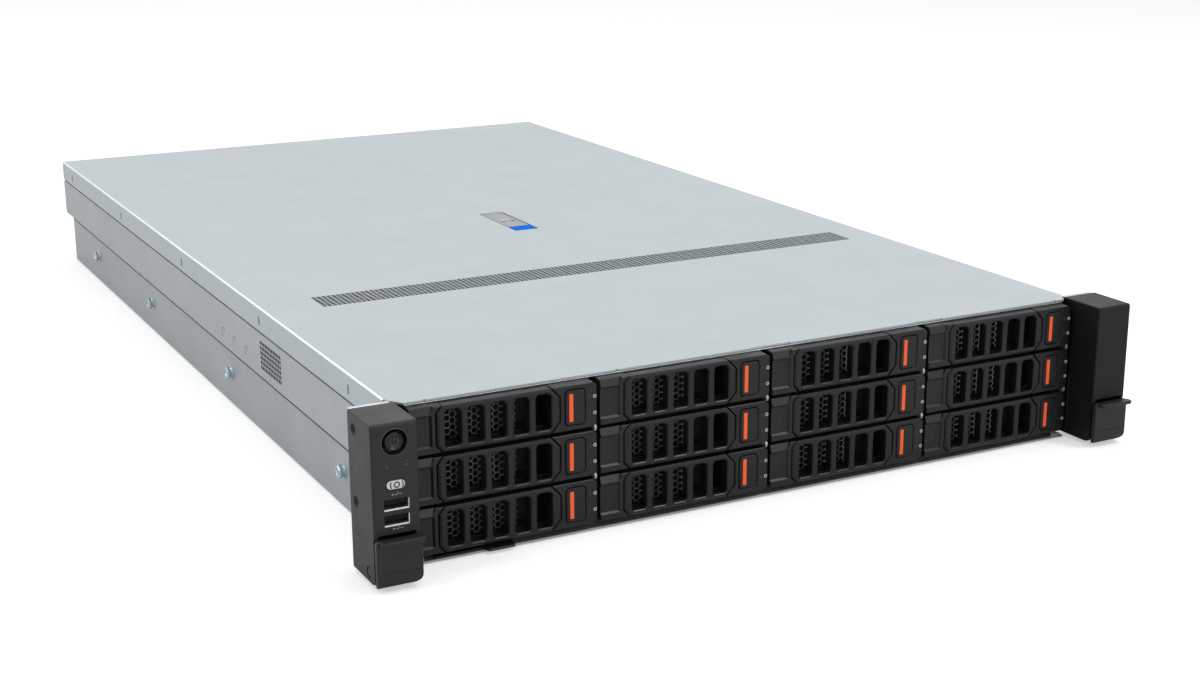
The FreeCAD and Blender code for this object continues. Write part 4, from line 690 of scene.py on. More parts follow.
# %% [markdown]
# ## Chassis tub
# The tub is one folded sheet: floor, side walls that step out at the rail line, and a neck that the
# cover's lips slip over. Its section is drawn once and drawn out along the depth; the band between the
# steps is then filled again around a small vent. The long folds get a radius, and the sheet its
# thickness.
# %% Chassis tub
LOWER, NECK, RAIL_LINE, SHOULDER, FLOOR_FRONT = 215.2, 219.0, 42.4, 70.0, -10.0
SIDE_VENT_NEAR, SIDE_VENT_LOW = 170.0, 47.4
section = [(-NECK, wall_top), (-NECK, SHOULDER), (-tub_half, SHOULDER), (-tub_half, RAIL_LINE),
           (-LOWER, RAIL_LINE), (-LOWER, 0.0)]
section += [(-x, z) for x, z in reversed(section)]
tub = bmesh.new()
corners = [tub.verts.new((x, 0, z)) for x, z in section]
drawn_out(tub, [tub.edges.new(pair) for pair in zip(corners, corners[1:])], (0, tub_rear, 0))
bands = [face for face in tub.faces if abs(abs(face.calc_center_median().x) - tub_half) < 0.1]
bmesh.ops.delete(tub, geom=bands, context="FACES_ONLY")
for side in (-1, 1):
    rim = [edge for edge in tub.edges if len(edge.link_faces) < 2
           and all(abs(vert.co.x - side * tub_half) < 0.01 for vert in edge.verts)]
    rim += perforated(tub, (side * tub_half, SIDE_VENT_NEAR, SIDE_VENT_LOW), (0, 1, 0), (0, 0, 1),
                      SIDE_COLUMNS, SIDE_ROWS, SIDE_PITCH, SIDE_HOLE)
    bmesh.ops.triangle_fill(tub, edges=rim, use_beauty=True)
sill = [edge for edge in tub.edges
        if all(abs(vert.co.y) < 0.01 and abs(vert.co.z) < 0.01 for vert in edge.verts)]
drawn_out(tub, sill, (0, FLOOR_FRONT, 0))
bmesh.ops.remove_doubles(tub, verts=tub.verts, dist=WELD)
outward(tub, lambda face: -face.calc_center_median().z, (0, 0, -1))
folds = [edge for edge in tub.edges if len(edge.link_faces) == 2 and edge.calc_face_angle(0) > 1.2]
bmesh.ops.bevel(tub, geom=folds, offset=0.9, segments=3, profile=0.5, affect="EDGES", material=-1)
thicken(piece("chassis_sheet", tub, wall_zinc, "chassis", ["chassis_tub"]))
print("tub faces", len(tub.faces), "folds", len(folds))

# %% [markdown]
# ## Side marks, inner walls and the front hem
# Three lanced tabs in the band locate the rails: each shows as a C-shaped cut, drawn as a dark grey
# arc of painted shade, like the two small slots lower on the wall. A black strip below the band and
# another on the neck are painted shade: the dark lines under the band's edge and under the cover's
# lip. The small side vents have a black sheet of painted shade behind them too. Inside the tub a wall
# and a shelf make the bay of the two power supplies, and the floor's front edge is hemmed, which gives
# it a bright rounded line.
# %% Side marks, inner walls and the front hem
TAB_CUTS, TAB_Z, WALL_SLOTS, SLOT_Z = (287.5, 263.5, 238.5), 51.0, (711, 586), 36.1
SHADE_STRIP_LOW, SHADE_STRIP_HIGH, LIP_SHADE_HIGH = 35.8, 36.7, 74.0
BAY_WALL, BAY_FRONT, BAY_SHELF = -139.1, 564.6, 40.8
cuts, side_vent_shades, shade_strips = [], [], []
for side in (-1, 1):
    # The C-shaped cuts and the small slots are dark grey bumps: painted shade of slits.
    cuts += [bent_rod(3.2, 0.42, (side * tub_half, y, TAB_Z), -65, 230, 16, 6, "X", flat=0.3)
             for y in TAB_CUTS]
    cuts += [side_moulding(side, centred(y, SLOT_Z, 0.7, 1.5, 0.5),
                           [(LOWER - 0.2, 0), (LOWER + 0.2, -0.1)])
             for y in WALL_SLOTS]
    # Two dark strips, below the band and on the neck: painted shade under the two overhangs.
    shade_strips.append(side_block(side, LOWER - 0.2, LOWER + 0.06, 1.0, tub_rear - 1.0,
                            SHADE_STRIP_LOW, SHADE_STRIP_HIGH, 0.05))
    shade_strips.append(side_block(side, NECK - 0.2, NECK + 0.5, 8.0, tub_rear - 1.0,
                            SHOULDER - 0.5, LIP_SHADE_HIGH, 0.1))
    # A black sheet behind each side vent: painted shade.
    side_vent_shades.append(side_block(side, tub_half - 1.2, tub_half - 0.1, SIDE_VENT_NEAR + 0.2,
                            SIDE_VENT_NEAR + SIDE_COLUMNS * SIDE_PITCH - 0.25, SIDE_VENT_LOW + 0.2,
                            SIDE_VENT_LOW + SIDE_ROWS * SIDE_PITCH - 0.2, 0.03))
piece("side_cuts", cuts, shade_grey_zinc, "chassis")
piece("painted_shade_under_band_and_lip", shade_strips, dark_ink_and_shade, "chassis")
piece("side_vent_painted_shades", side_vent_shades, shade_and_tongue_black, "chassis")
divider = block(BAY_WALL - SHEET, BAY_WALL, BAY_FRONT, tub_rear - 1, SHEET, 81.4, 0.2)
supply_shelf = block(-214.0, BAY_WALL - 0.9, BAY_FRONT, tub_rear - 1, BAY_SHELF, BAY_SHELF + 0.8, 0.2)
piece("supply_bay_sheets", [divider, supply_shelf], wall_zinc, "chassis")
hem = moulding(cornered(FLOOR_FRONT - 0.05, FLOOR_FRONT + 6, 0.0, 1.25,
                        cuts=(0.6, 0.2, 0.2, 0.6), steps=4),
               [(-213.0, 0), (213.0, 0)], "X")
hooks = [block(side * 209.6 - 3.2, side * 209.6 + 3.2, -9.7, -8.6, 0.8, 2.9, 0.3) for side in (-1, 1)]
piece("floor_hem", [hem, *hooks], inner_zinc, "chassis")
front_strip = block(-212.6, 212.6, COVER_FRONT + 0.1, 1.2, 84.0, 84.7, 0.2)
piece("front_strip", front_strip, bright_tin, "chassis")
print("cuts", len(cuts))

# %% [markdown]
# ## Rail studs and rack screws
# The slide rails hook over studs pressed into the side walls: a collar, a neck and a hexagonal head
# with a centre bore, in bluish bright zinc. The rack screw in each ear has a wide driven head and a
# thread, turned here as a row of ridges.
# %% Rail studs and rack screws
STUDS, STUD_Z = (83.0, 293.0, 492.0, 664.0), 22.0
SCREW_X, SCREW_Z, THREAD_PITCH = 232.55, 20.8, 1.1


def stud(side, y):
    """One stud, standing out from the lower wall."""
    collar = side_moulding(side, circle(y, STUD_Z, 4.5, 28),
                           [(LOWER, 0), (LOWER + 0.6, 0), (LOWER + 0.8, -0.3)])
    neck = side_moulding(side, circle(y, STUD_Z, 2.8, 24), [(LOWER + 0.3, 0), (LOWER + 1.7, 0)])
    head = side_moulding(side, circle(y, STUD_Z, 4.2, 6, math.pi / 6),
                         [(LOWER + 1.4, -0.6), (LOWER + 1.7, 0), (LOWER + 3.2, 0), (LOWER + 3.8, -0.7)])
    bore = side_moulding(side, circle(y, STUD_Z, 1.8, 20),
                         [(LOWER + 1.8, -0.3), (LOWER + 3.3, 0), (LOWER + 3.8, 0.5), (LOWER + 5.0, 0.5)])
    return together(collar, neck, carved(head, bore))


def cross_cut(u, v, long, wide):
    """The two outlines of a cross-head."""
    return centred(u, v, long, wide), centred(u, v, wide, long)


def rack_screw(x):
    """Captive screw: a driven head in the ear's well, a neck, and a thread behind the ear."""
    head = moulding(circle(x, SCREW_Z, 5.5, 32), [(-10.0, -0.7), (-9.3, 0), (-4.6, 0), (-4.2, -0.4)])
    bars = [moulding(bar, [(-11, 0), (-8, -0.2)]) for bar in cross_cut(x, SCREW_Z, 3.2, 0.6)]
    ridges = [level for turn in range(10)
              for level in ((0.6 + THREAD_PITCH * turn, -0.45), (1.15 + THREAD_PITCH * turn, 0))]
    thread = moulding(circle(x, SCREW_Z, 3.0, 20), [(-4.5, -0.6), (0.0, -0.6)] + ridges + [(12.0, -0.9)])
    return together(carved(head, *bars), thread)


fasteners = [stud(side, y) for side in (-1, 1) for y in STUDS]
fasteners += [rack_screw(-SCREW_X), rack_screw(SCREW_X)]
piece("studs_and_screws", fasteners, stud_zinc, "chassis",
      ["mounting_fasteners"])
print("fasteners", len(fasteners))

# %% [markdown]
# ## Drive carrier bezel
# One bezel serves twelve bays. It is a moulded block with a pocket for the lever, a duct for cooling
# air, a well for the release button, and a recessed grip pad under a bevelled band. The cutters flare
# at their mouths, so every opening gets a chamfer that catches the light. It is drawn from the bay's
# own corner: the bay line, the rack plane and the bay floor.
# %% Drive carrier bezel
LEVER_LEFT, LEVER_LOW = 15.7, 1.1
BEZEL_FACE, POCKET_BACK, OUT = -12.0, -6.0, -14.0
LEVER = cornered(LEVER_LEFT, 84.6, LEVER_LOW, 25.8,
                 cuts=((3.4, 4.0), (5.4, 6.0), (5.4, 6.0), (3.4, 4.0)))
BUTTON = (93.5, 13.45)
bezel_body = moulding(cornered(1.5, 106.3, 1.0, 25.9, cuts=(0.4, (2.5, 1.9), (2.5, 1.9), 0.4)),
                      [(BEZEL_FACE, -0.45), (BEZEL_FACE + 0.4, 0), (1.0, 0)])
pocket = moulding(grown(LEVER, 0.6),
                  [(OUT, 0.3), (BEZEL_FACE, 0.3), (BEZEL_FACE + 0.3, 0), (POCKET_BACK, 0)])
duct = moulding(cornered(19.0, 81.0, 4.25, 22.65, cuts=(1.5,) * 4),
                [(POCKET_BACK - 1, 0.3), (POCKET_BACK, 0.3), (POCKET_BACK + 0.4, 0), (2, 0)])
well = moulding(centred(*BUTTON, 5.95, 9.85, 2.4, 4),
                [(OUT, 0.35), (BEZEL_FACE, 0.35), (BEZEL_FACE + 0.4, 0), (-5.7, 0)])
pad = moulding(cornered(-1.0, 13.1, 4.4, 21.5), [(OUT, 0), (BEZEL_FACE, 0), (BEZEL_FACE + 1.1, -1.0)])
band = moulding([(-1.0, 21.9), (11.6, 21.9), (14.4, 26.6), (-1.0, 26.6)],
                [(OUT, 0), (BEZEL_FACE - 0.05, 0)])
for vert in band.verts:
    if vert.co.y > -13 and vert.co.z > 24:
        vert.co.y = -10.3
bezel = together(carved(bezel_body, pocket, duct, well, pad, band),
                 block(9.7, 10.1, -11.0, -10.85, 6.2, 20.6, 0.06))
print("bezel faces", len(bezel.faces))

# %% [markdown]
# ## Lever, button and the marks beside it
# The lever is a flat grille: a broad chamfer all round, five windows with cut corners, and a small
# block at the head of each bar. The button is black with an orange insert let into it. Two light
# guides show as pale rings with a dark middle.
# %% Lever, button and the marks beside it
WINDOW_LEFT, WINDOW_PITCH, WINDOW_WIDE, WINDOW_COUNT = 20.1, 12.65, 9.0, 5
GUIDE_ROWS = (8.9, 18.0)
lefts = [WINDOW_LEFT + WINDOW_PITCH * number for number in range(WINDOW_COUNT)]
windows = [moulding(cornered(left, left + WINDOW_WIDE, 3.65, 23.25, cuts=(1.0, 1.2, 1.8, 1.2)),
                    [(-14, 0.5), (-12.6, 0.5), (-12.05, 0), (-6, 0)]) for left in lefts]
grille = carved(moulding(LEVER, [(-12.6, -1.2), (-11.95, -0.2), (-11.7, 0), (-6.6, 0)]), *windows)
heads = [block(left + 9.35, left + 12.3, -12.85, -12.4, 21.3, 23.6, 0.12) for left in lefts[:-1]]
stiffeners = [block(18.8, 79.8, -6.75, -6.45, z, z + 0.8, 0.1) for z in (2.2, 23.9)]
lever = together(grille, *heads, *stiffeners)
button = carved(moulding(centred(*BUTTON, 5.6, 9.5, 2.1, 4),
                         [(-12.3, -0.6), (-12.05, -0.15), (-11.8, 0), (-7.9, 0)]),
                moulding(cornered(89.85, 92.35, 5.75, 21.15, cuts=(0.3,) * 4), [(-13, 0), (-11.9, 0)]))
insert = moulding(cornered(89.9, 92.3, 5.8, 21.1, cuts=(0.3,) * 4),
                  [(-12.36, -0.12), (-12.2, 0), (-11.8, 0)])
guides = together(*(bent_rod(0.75, 0.26, (104.9, -12.0, z), steps=18) for z in GUIDE_ROWS))
signs = [block(101.3, 102.5, -12.1, -11.95, z + rise - 0.15, z + rise + 0.15, 0.04)
         for z in GUIDE_ROWS for rise in (-0.5, 0.5)]
signs += [block(101.3, 101.6, -12.1, -11.95, z - 0.6, z + 0.6, 0.04) for z in GUIDE_ROWS]
signs = together(*signs)
print("lever faces", len(lever.faces), "button faces", len(button.faces))

# %% [markdown]
# ## Carrier mesh
# Behind the grille a honeycomb plate of nickel-plated steel screens the bay. Its cells are hexagons
# with flats above and below; each is inset and its middle removed, and neighbours are welded.
# %% Carrier mesh
CELL, COMB_WALL, COMB_Y = 3.5, 0.3, -2.6
cell_side = CELL / math.sqrt(3)
comb = bmesh.new()
for column in range(15):
    for row in range(7):
        place = (19.0 + 1.5 * cell_side * column, COMB_Y, 1.6 + CELL * (row + 0.5 * (column % 2)))
        cell = bmesh.ops.create_circle(comb, segments=6, radius=cell_side, cap_ends=True)["verts"]
        for angle, axis in ((math.pi / 6, "Z"), (math.pi / 2, "X")):
            bmesh.ops.rotate(comb, cent=(0, 0, 0), matrix=Matrix.Rotation(angle, 3, axis), verts=cell)
        bmesh.ops.translate(comb, vec=place, verts=cell)
cells = comb.faces[:]
bmesh.ops.inset_individual(comb, faces=cells, thickness=COMB_WALL)
bmesh.ops.delete(comb, geom=cells, context="FACES")
bmesh.ops.remove_doubles(comb, verts=comb.verts, dist=0.05)
walls = bmesh.ops.extrude_face_region(comb, geom=comb.faces[:])
bmesh.ops.translate(comb, vec=(0, 0.5, 0), verts=fresh_verts(walls))
bmesh.ops.recalc_face_normals(comb, faces=comb.faces[:])
print("comb faces", len(comb.faces))

# %% [markdown]
# ## Rails and drive
# Behind the mesh are two rails and the hard drive: a cast case, a pressed lid with its screws, and a
# label left blank. A black sheet behind the mesh and two black strips along the air duct are painted
# shade that keeps the bay dark.
# %% Rails and drive
RAIL_REAR, DRIVE_NEAR, DRIVE_FAR = 159.6, 11.0, 158.0
DRIVE_LEFT, DRIVE_RIGHT = 2.75, 104.3
rails = [block(left, right, near, RAIL_REAR, 0.2, 11.1, 0.3)
         for left, right, near in ((0.85, 2.7, 1.0), (104.35, 106.2, 1.0), (2.5, 104.5, 158.4))]
for y in (38, 70, 132):
    for x, step in ((0.85, -1), (106.2, 1)):
        rails.append(moulding(circle(y, 6.0, 2.3, 16),
                              [(x - 0.02 * step, 0), (x + 0.25 * step, -0.3)], "X"))
rails = together(*rails)
case = block(DRIVE_LEFT, DRIVE_RIGHT, DRIVE_NEAR, DRIVE_FAR, 0.25, 20.0, 0.8)
lid = moulding(cornered(4.0, 103.0, 13.0, 156.0, cuts=(6, 6, 3, 3), steps=4),
               [(19.5, 0), (24.6, 0), (25.6, -1.0)], "Z")
rim = block(DRIVE_LEFT, DRIVE_RIGHT, DRIVE_NEAR, DRIVE_FAR, 19.0, 23.4, 0.6)
screws = [moulding(circle(x, y, 2.2, 16), [(25.2, 0), (25.7, 0), (25.85, -0.4)], "Z")
          for y in (20, 84, 148) for x in (9, 98)]
drive = together(case, rim, lid, *screws)
label = block(16, 91, 44, 134, 25.5, 25.72, 0.05)
# A black sheet behind the mesh and two strips along the duct: painted shade that keeps the bay dark.
bay_shade = together(block(10, 96, 5.0, 6.0, 1.2, 25.4, 0.1), block(19.2, 80.8, -5.6, 5.2, 4.15, 4.4, 0.05),
                  block(80.75, 81.1, -5.6, 5.2, 4.3, 22.6, 0.05))
print("drive faces", len(drive.faces))

# %% [markdown]
# ## Twelve dressed bays
# Each bay's corner is read from its lever in the model, and the same forms are copied there. Every copy
# has its own mesh, already in place, so it can ride out with its own carrier.
# %% Twelve dressed bays
bay_corners = []
for number in range(1, 13):
    tag = "%02d" % number
    carrier, lever_body, push = "drive_carrier_" + tag, "carrier_lever_" + tag, "release_button_" + tag
    low = box_mm(lever_body)[0]
    corner = (low[0] - LEVER_LEFT, 0, low[2] - LEVER_LOW)
    bay_corners.append(corner)
    for name, form, finish, body, slot, stands_for in (
            ("bezel", bezel, bezel_black, carrier, "black_plastic", [carrier]),
            ("mesh", comb, comb_steel, carrier, "zinc_sheet", ()),
            ("rails", rails, inner_zinc, carrier, "zinc_sheet", ()),
            ("hard_drive", drive, drive_grey, carrier, "zinc_sheet", ()),
            ("drive_label", label, label_white, carrier, "silver_plastic", ()),
            ("light_guides", guides, guide_grey, carrier, "silver_plastic", ()),
            ("guide_signs", signs, dark_grey, carrier, "silver_plastic", ()),
            ("bay_painted_shade", bay_shade, shade_and_tongue_black, carrier, "black_plastic", ()),
            ("lever", lever, lever_black, lever_body, "black_plastic", [lever_body]),
            ("button", button, lever_black, push, "button_plastic", [push]),
            ("button_insert", insert, button_orange, push, "button_plastic", ())):
        piece(name + "_" + tag, form, finish, body, stands_for, corner)
print("bays dressed", len(bay_corners))

# %% [markdown]
# ## Cage fingers
# Between the rows small sprung fingers of bare zinc press on the carriers' edges and carry any static
# charge away. Only their bright front ends show in the gaps.
# %% Cage fingers
TOP_ROW_Z = 50
FINGER = ((-11.3, 26.9), (-10.6, 25.2), (-6.5, 25.0), (1.4, 26.2),
          (1.4, 27.4), (-6.5, 29.0), (-10.6, 28.6))
fingers = [moulding([(y, bay + z) for y, z in FINGER],
                    [(line + 105.0, -0.3), (line + 105.3, 0), (line + 106.4, 0),
                     (line + 106.7, -0.3)], "X")
           for line, _, bay in bay_corners if bay <= TOP_ROW_Z]
piece("cage_fingers", fingers, inner_zinc, "chassis")
print("fingers", len(fingers))

# %% [markdown]
# ## Ears
# An ear is a hollow moulding on the side of the panel. Its side profile, round above and swept below,
# is drawn out across its width. The left one is then carved for the power button, the locator, two data
# ports, two screws in its outer side and the well of the rack screw; the right one only for the well.
# A bright bracket of tin-plated sheet carries each ear from behind.
# %% Ears
EAR_FACE = -32.2
EAR = cornered(EAR_FACE, 0.0, 2.0, 86.2, cuts=(5.6, 0, 2.0, 1.6), steps=6)
EAR_WIDE = 24.4
PIVOT_Y, PIVOT_Z = -23.2, 7.6
SIDE_SCREW_Y, SIDE_SCREWS, PORT_ROWS = -8.6, (77.6, 39.6), (44.3, 36.1)
ear_outer = box_mm("right_ear")[1][0]
ear_inner = ear_outer - EAR_WIDE


def ear_form(side):
    """The bare ear on one side, and the cuts that both ears share."""
    body = side_moulding(side, EAR, [(ear_outer, -0.8), (ear_outer - 0.3, -0.25), (ear_outer - 0.8, 0),
                                     (ear_inner + 0.5, 0), (ear_inner, -0.5)])
    near, far = sorted((side * (ear_outer - 2.2), side * (ear_inner + 2.2)))
    screw_well = moulding(cornered(near, far, 1.0, 28.4, cuts=(0, 0, 1.0, 1.0)), [(-34, 0), (-4.0, 0)])
    hole = moulding(circle(side * SCREW_X, SCREW_Z, 3.4, 24), [(-5, 0), (1, 0.2)])
    mark = side_moulding(side, circle(PIVOT_Y, PIVOT_Z, 3.1, 28),
                         [(ear_outer + 1, 0), (ear_outer - 0.6, 0)])
    grip = moulding([(-33.5, 29.5), (EAR_FACE, 29.0), (-29.9, 28.2), (-29.9, 27.0), (-33.5, 27.0)],
                    [(near, 0), (far, 0)], "X")
    reveal = side_moulding(side, cornered(-34, -31.2, 1.0, 27.6),
                           [(ear_outer + 1, 0), (ear_inner - 1, 0)])
    return body, [screw_well, hole, mark, grip, reveal]


def ear_extras(side):
    """The flange on the chassis wall, and the latch's pivot pin with its disc."""
    near, far = sorted((side * (ear_outer - 0.4), side * (ear_outer - 24.0)))
    return [side_block(side, 215.25, 217.9, -12.0, 0.0, 3.0, 40.4, 0.3),
            side_moulding(side, circle(PIVOT_Y, PIVOT_Z, 2.5, 28),
                          [(ear_outer - 0.15, -0.15), (ear_outer - 0.7, 0)]),
            moulding(circle(PIVOT_Y, PIVOT_Z, 1.5, 20), [(near, 0), (far, 0)], "X")]


power_x, power_z, locator_z = -ear_outer + 12.4, 76.3, 54.4
power_well = moulding(circle(power_x, power_z, 5.2, 40),
                      [(-33, 1.6), (-29.5, 1.6), (-29.2, 0), (-25.7, 0)])
locator_well = moulding(centred(power_x, locator_z, 5.1, 2.5, 2.49, 8),
                        [(-33, 0.3), (EAR_FACE, 0.3), (-31.9, 0), (-27.1, 0)])
port_holes = [moulding(centred(power_x, z, 6.85, 3.05),
                       [(-33, -0.05), (-31.6, -0.35), (-31.5, 0), (-18.0, 0)])
              for z in PORT_ROWS]
side_recess = [side_moulding(-1, circle(SIDE_SCREW_Y, z, 2.4, 24),
                             [(ear_outer + 1, 1.0), (ear_outer, 0.9),
                              (ear_outer - 1.4, 0), (ear_outer - 2.4, 0)])
               for z in SIDE_SCREWS]
body, cuts = ear_form(-1)
left_form = carved(body, *cuts, power_well, locator_well, *port_holes, *side_recess)
piece("left_ear_housing", together(left_form, *ear_extras(-1)), ear_black, "chassis",
      ["left_ear"])
body, cuts = ear_form(1)
# The right ear takes the darker copy of the ear plastic: painted shade.
piece("right_ear_housing", together(carved(body, *cuts), *ear_extras(1)), shaded_right_ear_black, "chassis",
      ["right_ear"])
brackets = []
for side in (-1, 1):
    brackets.append(side_block(side, tub_half - 2.0, ear_outer - 1.4, 0.05, 1.2, 2.2, 85.4, 0.2))
    brackets.append(side_block(side, tub_half - 2.0, ear_outer - 1.4, 0.05, 2.8, 84.9, 85.8, 0.3))
piece("ear_brackets", brackets, bright_tin, "chassis")
print("left ear faces", len(left_form.faces))

# %% [markdown]
# ## Power button, locator and ports
# The power button has a lacquered ring and a dished cap with the usual power sign: a broken circle
# with a bar in its gap. The locator button is a silver oval. The ports are folded tin-plated shells
# round a black tongue, each with a lip below and to the right in near-white tin: a painted highlight.
# A black plate of painted shade stands across each port part way in.
# %% Power button, locator and ports
ring_form = carved(moulding(circle(power_x, power_z, 7.05, 56),
                            [(EAR_FACE - 0.3, -0.08), (EAR_FACE - 0.2, 0), (-29.4, 0)]),
                   moulding(circle(power_x, power_z, 5.3, 56),
                            [(-34, 1.5), (EAR_FACE - 0.31, 1.5), (-30.0, 0.2), (-29.0, 0.2)]))
piece("power_ring", ring_form, ring_black, "chassis")
cap = carved(moulding(circle(power_x, power_z, 4.8, 40), [(-32.0, -0.6), (-31.5, 0), (-27.5, 0)]),
             moulding(circle(power_x, power_z, 3.9, 40), [(-33, 0), (-32.0, 0), (-31.65, -1.0)]))
piece("power_cap", cap, gloss_black, "power_button", ["power_button"])
arc = bent_rod(2.1, 0.28, (power_x, -31.7, power_z), 125, 290, 24)
bar = block(power_x - 0.28, power_x + 0.28, -31.95, -31.5, power_z + 0.4, power_z + 2.6, 0.1)
piece("power_sign", [arc, bar], dark_grey, "power_button")
locator = moulding(centred(power_x, locator_z, 4.8, 2.2, 2.19, 8),
                   [(-32.4, -0.4), (-32.1, 0), (-28.4, 0)])
piece("locator_cap", locator, silver_plastic, "locator_button", ["locator_button"])
sign_place = (power_x + 0.4, -32.35, locator_z)
loop = bent_rod(1.35, 0.36, sign_place, steps=20, sides=6, flat=0.5)
curls = [bent_rod(3.3, 0.34, sign_place, start, 60, 6, 6, flat=0.5) for start in (-30, 150)]
piece("locator_sign", [loop, *curls], dark_ink_and_shade, "locator_button")
shells, tongues, lips = [], [], []
for z in PORT_ROWS:
    shells.append(carved(moulding(centred(power_x, z, 6.8, 3.0, 0.3), [(-31.4, 0), (-18.2, 0)]),
                         moulding(centred(power_x, z, 6.5, 2.7), [(-33, 0), (-31.4, 0), (-18.6, 0)])))
    tongues.append(block(power_x - 6.0, power_x + 6.0, -30.4, -18.6, z - 0.2, z + 2.5, 0.2))
    # A black plate across each port behind its mouth: painted shade.
    tongues.append(block(power_x - 6.45, power_x + 6.45, -28.0, -27.4, z - 2.65, z + 2.65, 0.1))
    # The lips below and to the right take near-white tin: a painted highlight.
    lips.append(block(power_x - 6.5, power_x + 6.5, -32.3, -31.2, z - 2.95, z - 2.3, 0.12))
    lips.append(block(power_x + 6.35, power_x + 6.7, -32.2, -31.2, z - 2.3, z + 2.4, 0.1))
piece("port_shells", shells, bright_tin, "chassis")
piece("port_lips", lips, lip_highlight_tin, "chassis")
piece("port_tongues_and_painted_shade", tongues, shade_and_tongue_black, "chassis")
print("ports", len(shells))

# %% [markdown]
# ## Printed marks and side screws
# Next to the buttons small pad-printed marks name the lamps and ports: a fork-shaped data sign and two
# lamp pips. In the ear's outer side two dark cross-head screws sit in countersinks.
# %% Printed marks and side screws
INK_FRONT, INK_BACK = -32.28, -32.15
INK = [(INK_FRONT, 0), (INK_BACK, 0)]
SIGN_ROWS = (49.5, 31.7)
LAMP_PLACES = ((-233.3, 64.1), (-223.0, 64.0))
marks = []
for z in SIGN_ROWS:
    marks.append(block(-230.6, -226.4, INK_FRONT, INK_BACK, z - 0.14, z + 0.14, 0.04))
    marks.append(moulding(circle(-230.8, z, 0.55, 10), INK))
    marks.append(moulding(circle(-228.0, z + 0.85, 0.35, 8), INK))
    marks.append(block(-228.9, -228.6, INK_FRONT, INK_BACK, z - 0.9, z, 0.04))
    marks.append(moulding([(-226.6, z - 0.5), (-225.6, z), (-226.6, z + 0.5)], INK))
pips = [moulding(circle(x, z, 0.75, 14), [(-32.3, -0.1), (-32.1, 0)]) for x, z in LAMP_PLACES]
pips += [block(x - 0.9, x + 0.9, -32.26, -32.1, z + 1.6, z + 1.9, 0.04) for x, z in LAMP_PLACES]
piece("ear_lamps", pips, dark_grey, "chassis")
piece("ear_marks", marks, mark_grey, "chassis")
heads = []
for z in SIDE_SCREWS:
    head = side_moulding(-1, circle(SIDE_SCREW_Y, z, 2.3, 20), [(240.2, -0.6), (239.9, 0), (238.9, 0)])
    bars = [side_moulding(-1, bar, [(241, 0), (239.6, -0.1)])
            for bar in cross_cut(SIDE_SCREW_Y, z, 1.4, 0.35)]
    heads.append(carved(head, *bars))
piece("ear_side_screws", heads, gloss_black, "chassis")
print("marks", len(marks))

# %% [markdown]
# ## Ear latches and the pull-out card
# The latch flips down over the rack screw. Its face is a plain plate with one round lower corner, a
# swept foot and a fine crease; a thumb lip runs along its top, and two arms clip on the ear's pin.
# Under the lower left carriers a flat card pulls out to be read.
# %% Ear latches and the pull-out card
def latch_form(side):
    """One latch: plate, thumb lip and arms."""
    left, right = sorted((side * ear_outer, side * ear_inner))
    plate = moulding(cornered(left, right, 2.4, 27.2, cuts=(0.7, 4.5, 0.6, 1.6), steps=5),
                     [(-35.4, -0.5), (-34.9, 0), (-32.6, 0)])
    foot = moulding([(-36.5, 1.0), (-32.8, 1.0), (-35.5, 4.9), (-36.5, 4.9)],
                    [(left - 1, 0), (right + 1, 0)], "X")
    crease = moulding([(-36, 9.6), (-35.1, 9.9), (-36, 10.2)], [(left + 2.5, 0), (right - 1.5, 0)], "X")
    lip = moulding(cornered(left + 1.5, right + 0.2, -39.6, -34.8, cuts=(2.4, 1.4, 0, 0), steps=4),
                   [(25.3, -0.5), (25.7, -0.1), (26.1, 0), (27.1, 0), (27.4, -0.2), (27.6, -0.5)], "Z")
    arms = []
    for inset in (2.5, 20.3):
        near, far = sorted((side * (ear_outer - inset), side * (ear_outer - inset - 1.6)))
        arm = moulding(cornered(-33.4, -19.8, 4.2, 11.0, cuts=(1, 2, 2, 1), steps=3),
                       [(near, 0), (far, 0)], "X")
        slot_cut = moulding(cornered(-24.8, -18.0, 6.05, 9.15, cuts=(1.5, 0, 0, 1.5), steps=4),
                            [(near - 1, 0), (far + 1, 0)], "X")
        arms.append(carved(arm, slot_cut))
    return together(carved(plate, foot, crease), lip, *arms)


for side, name in ((-1, "ear_latch_left"), (1, "ear_latch_right")):
    piece(name + "_plate", latch_form(side), ear_black, name, [name])
TAB_FRONT, TONGUE_FRONT = -9.4, -14.0
(tab_left, _, tab_low), (tab_right, tab_rear, tab_high) = box_mm("pull_tab")
outline = [(tab_left, TAB_FRONT), (-173.5, TAB_FRONT), (-172.0, TONGUE_FRONT), (-157.0, TONGUE_FRONT),
           (tab_right, TAB_FRONT), (tab_right, tab_rear), (tab_left, tab_rear)]
levels = [(tab_low, -0.3), (tab_low + 0.3, 0), (tab_high - 0.3, 0), (tab_high, -0.3)]
card = moulding(outline, levels, "Z")
piece("pull_out_tab", card, bezel_black, "pull_tab", ["pull_tab"])
print("card", tab_left, tab_right)

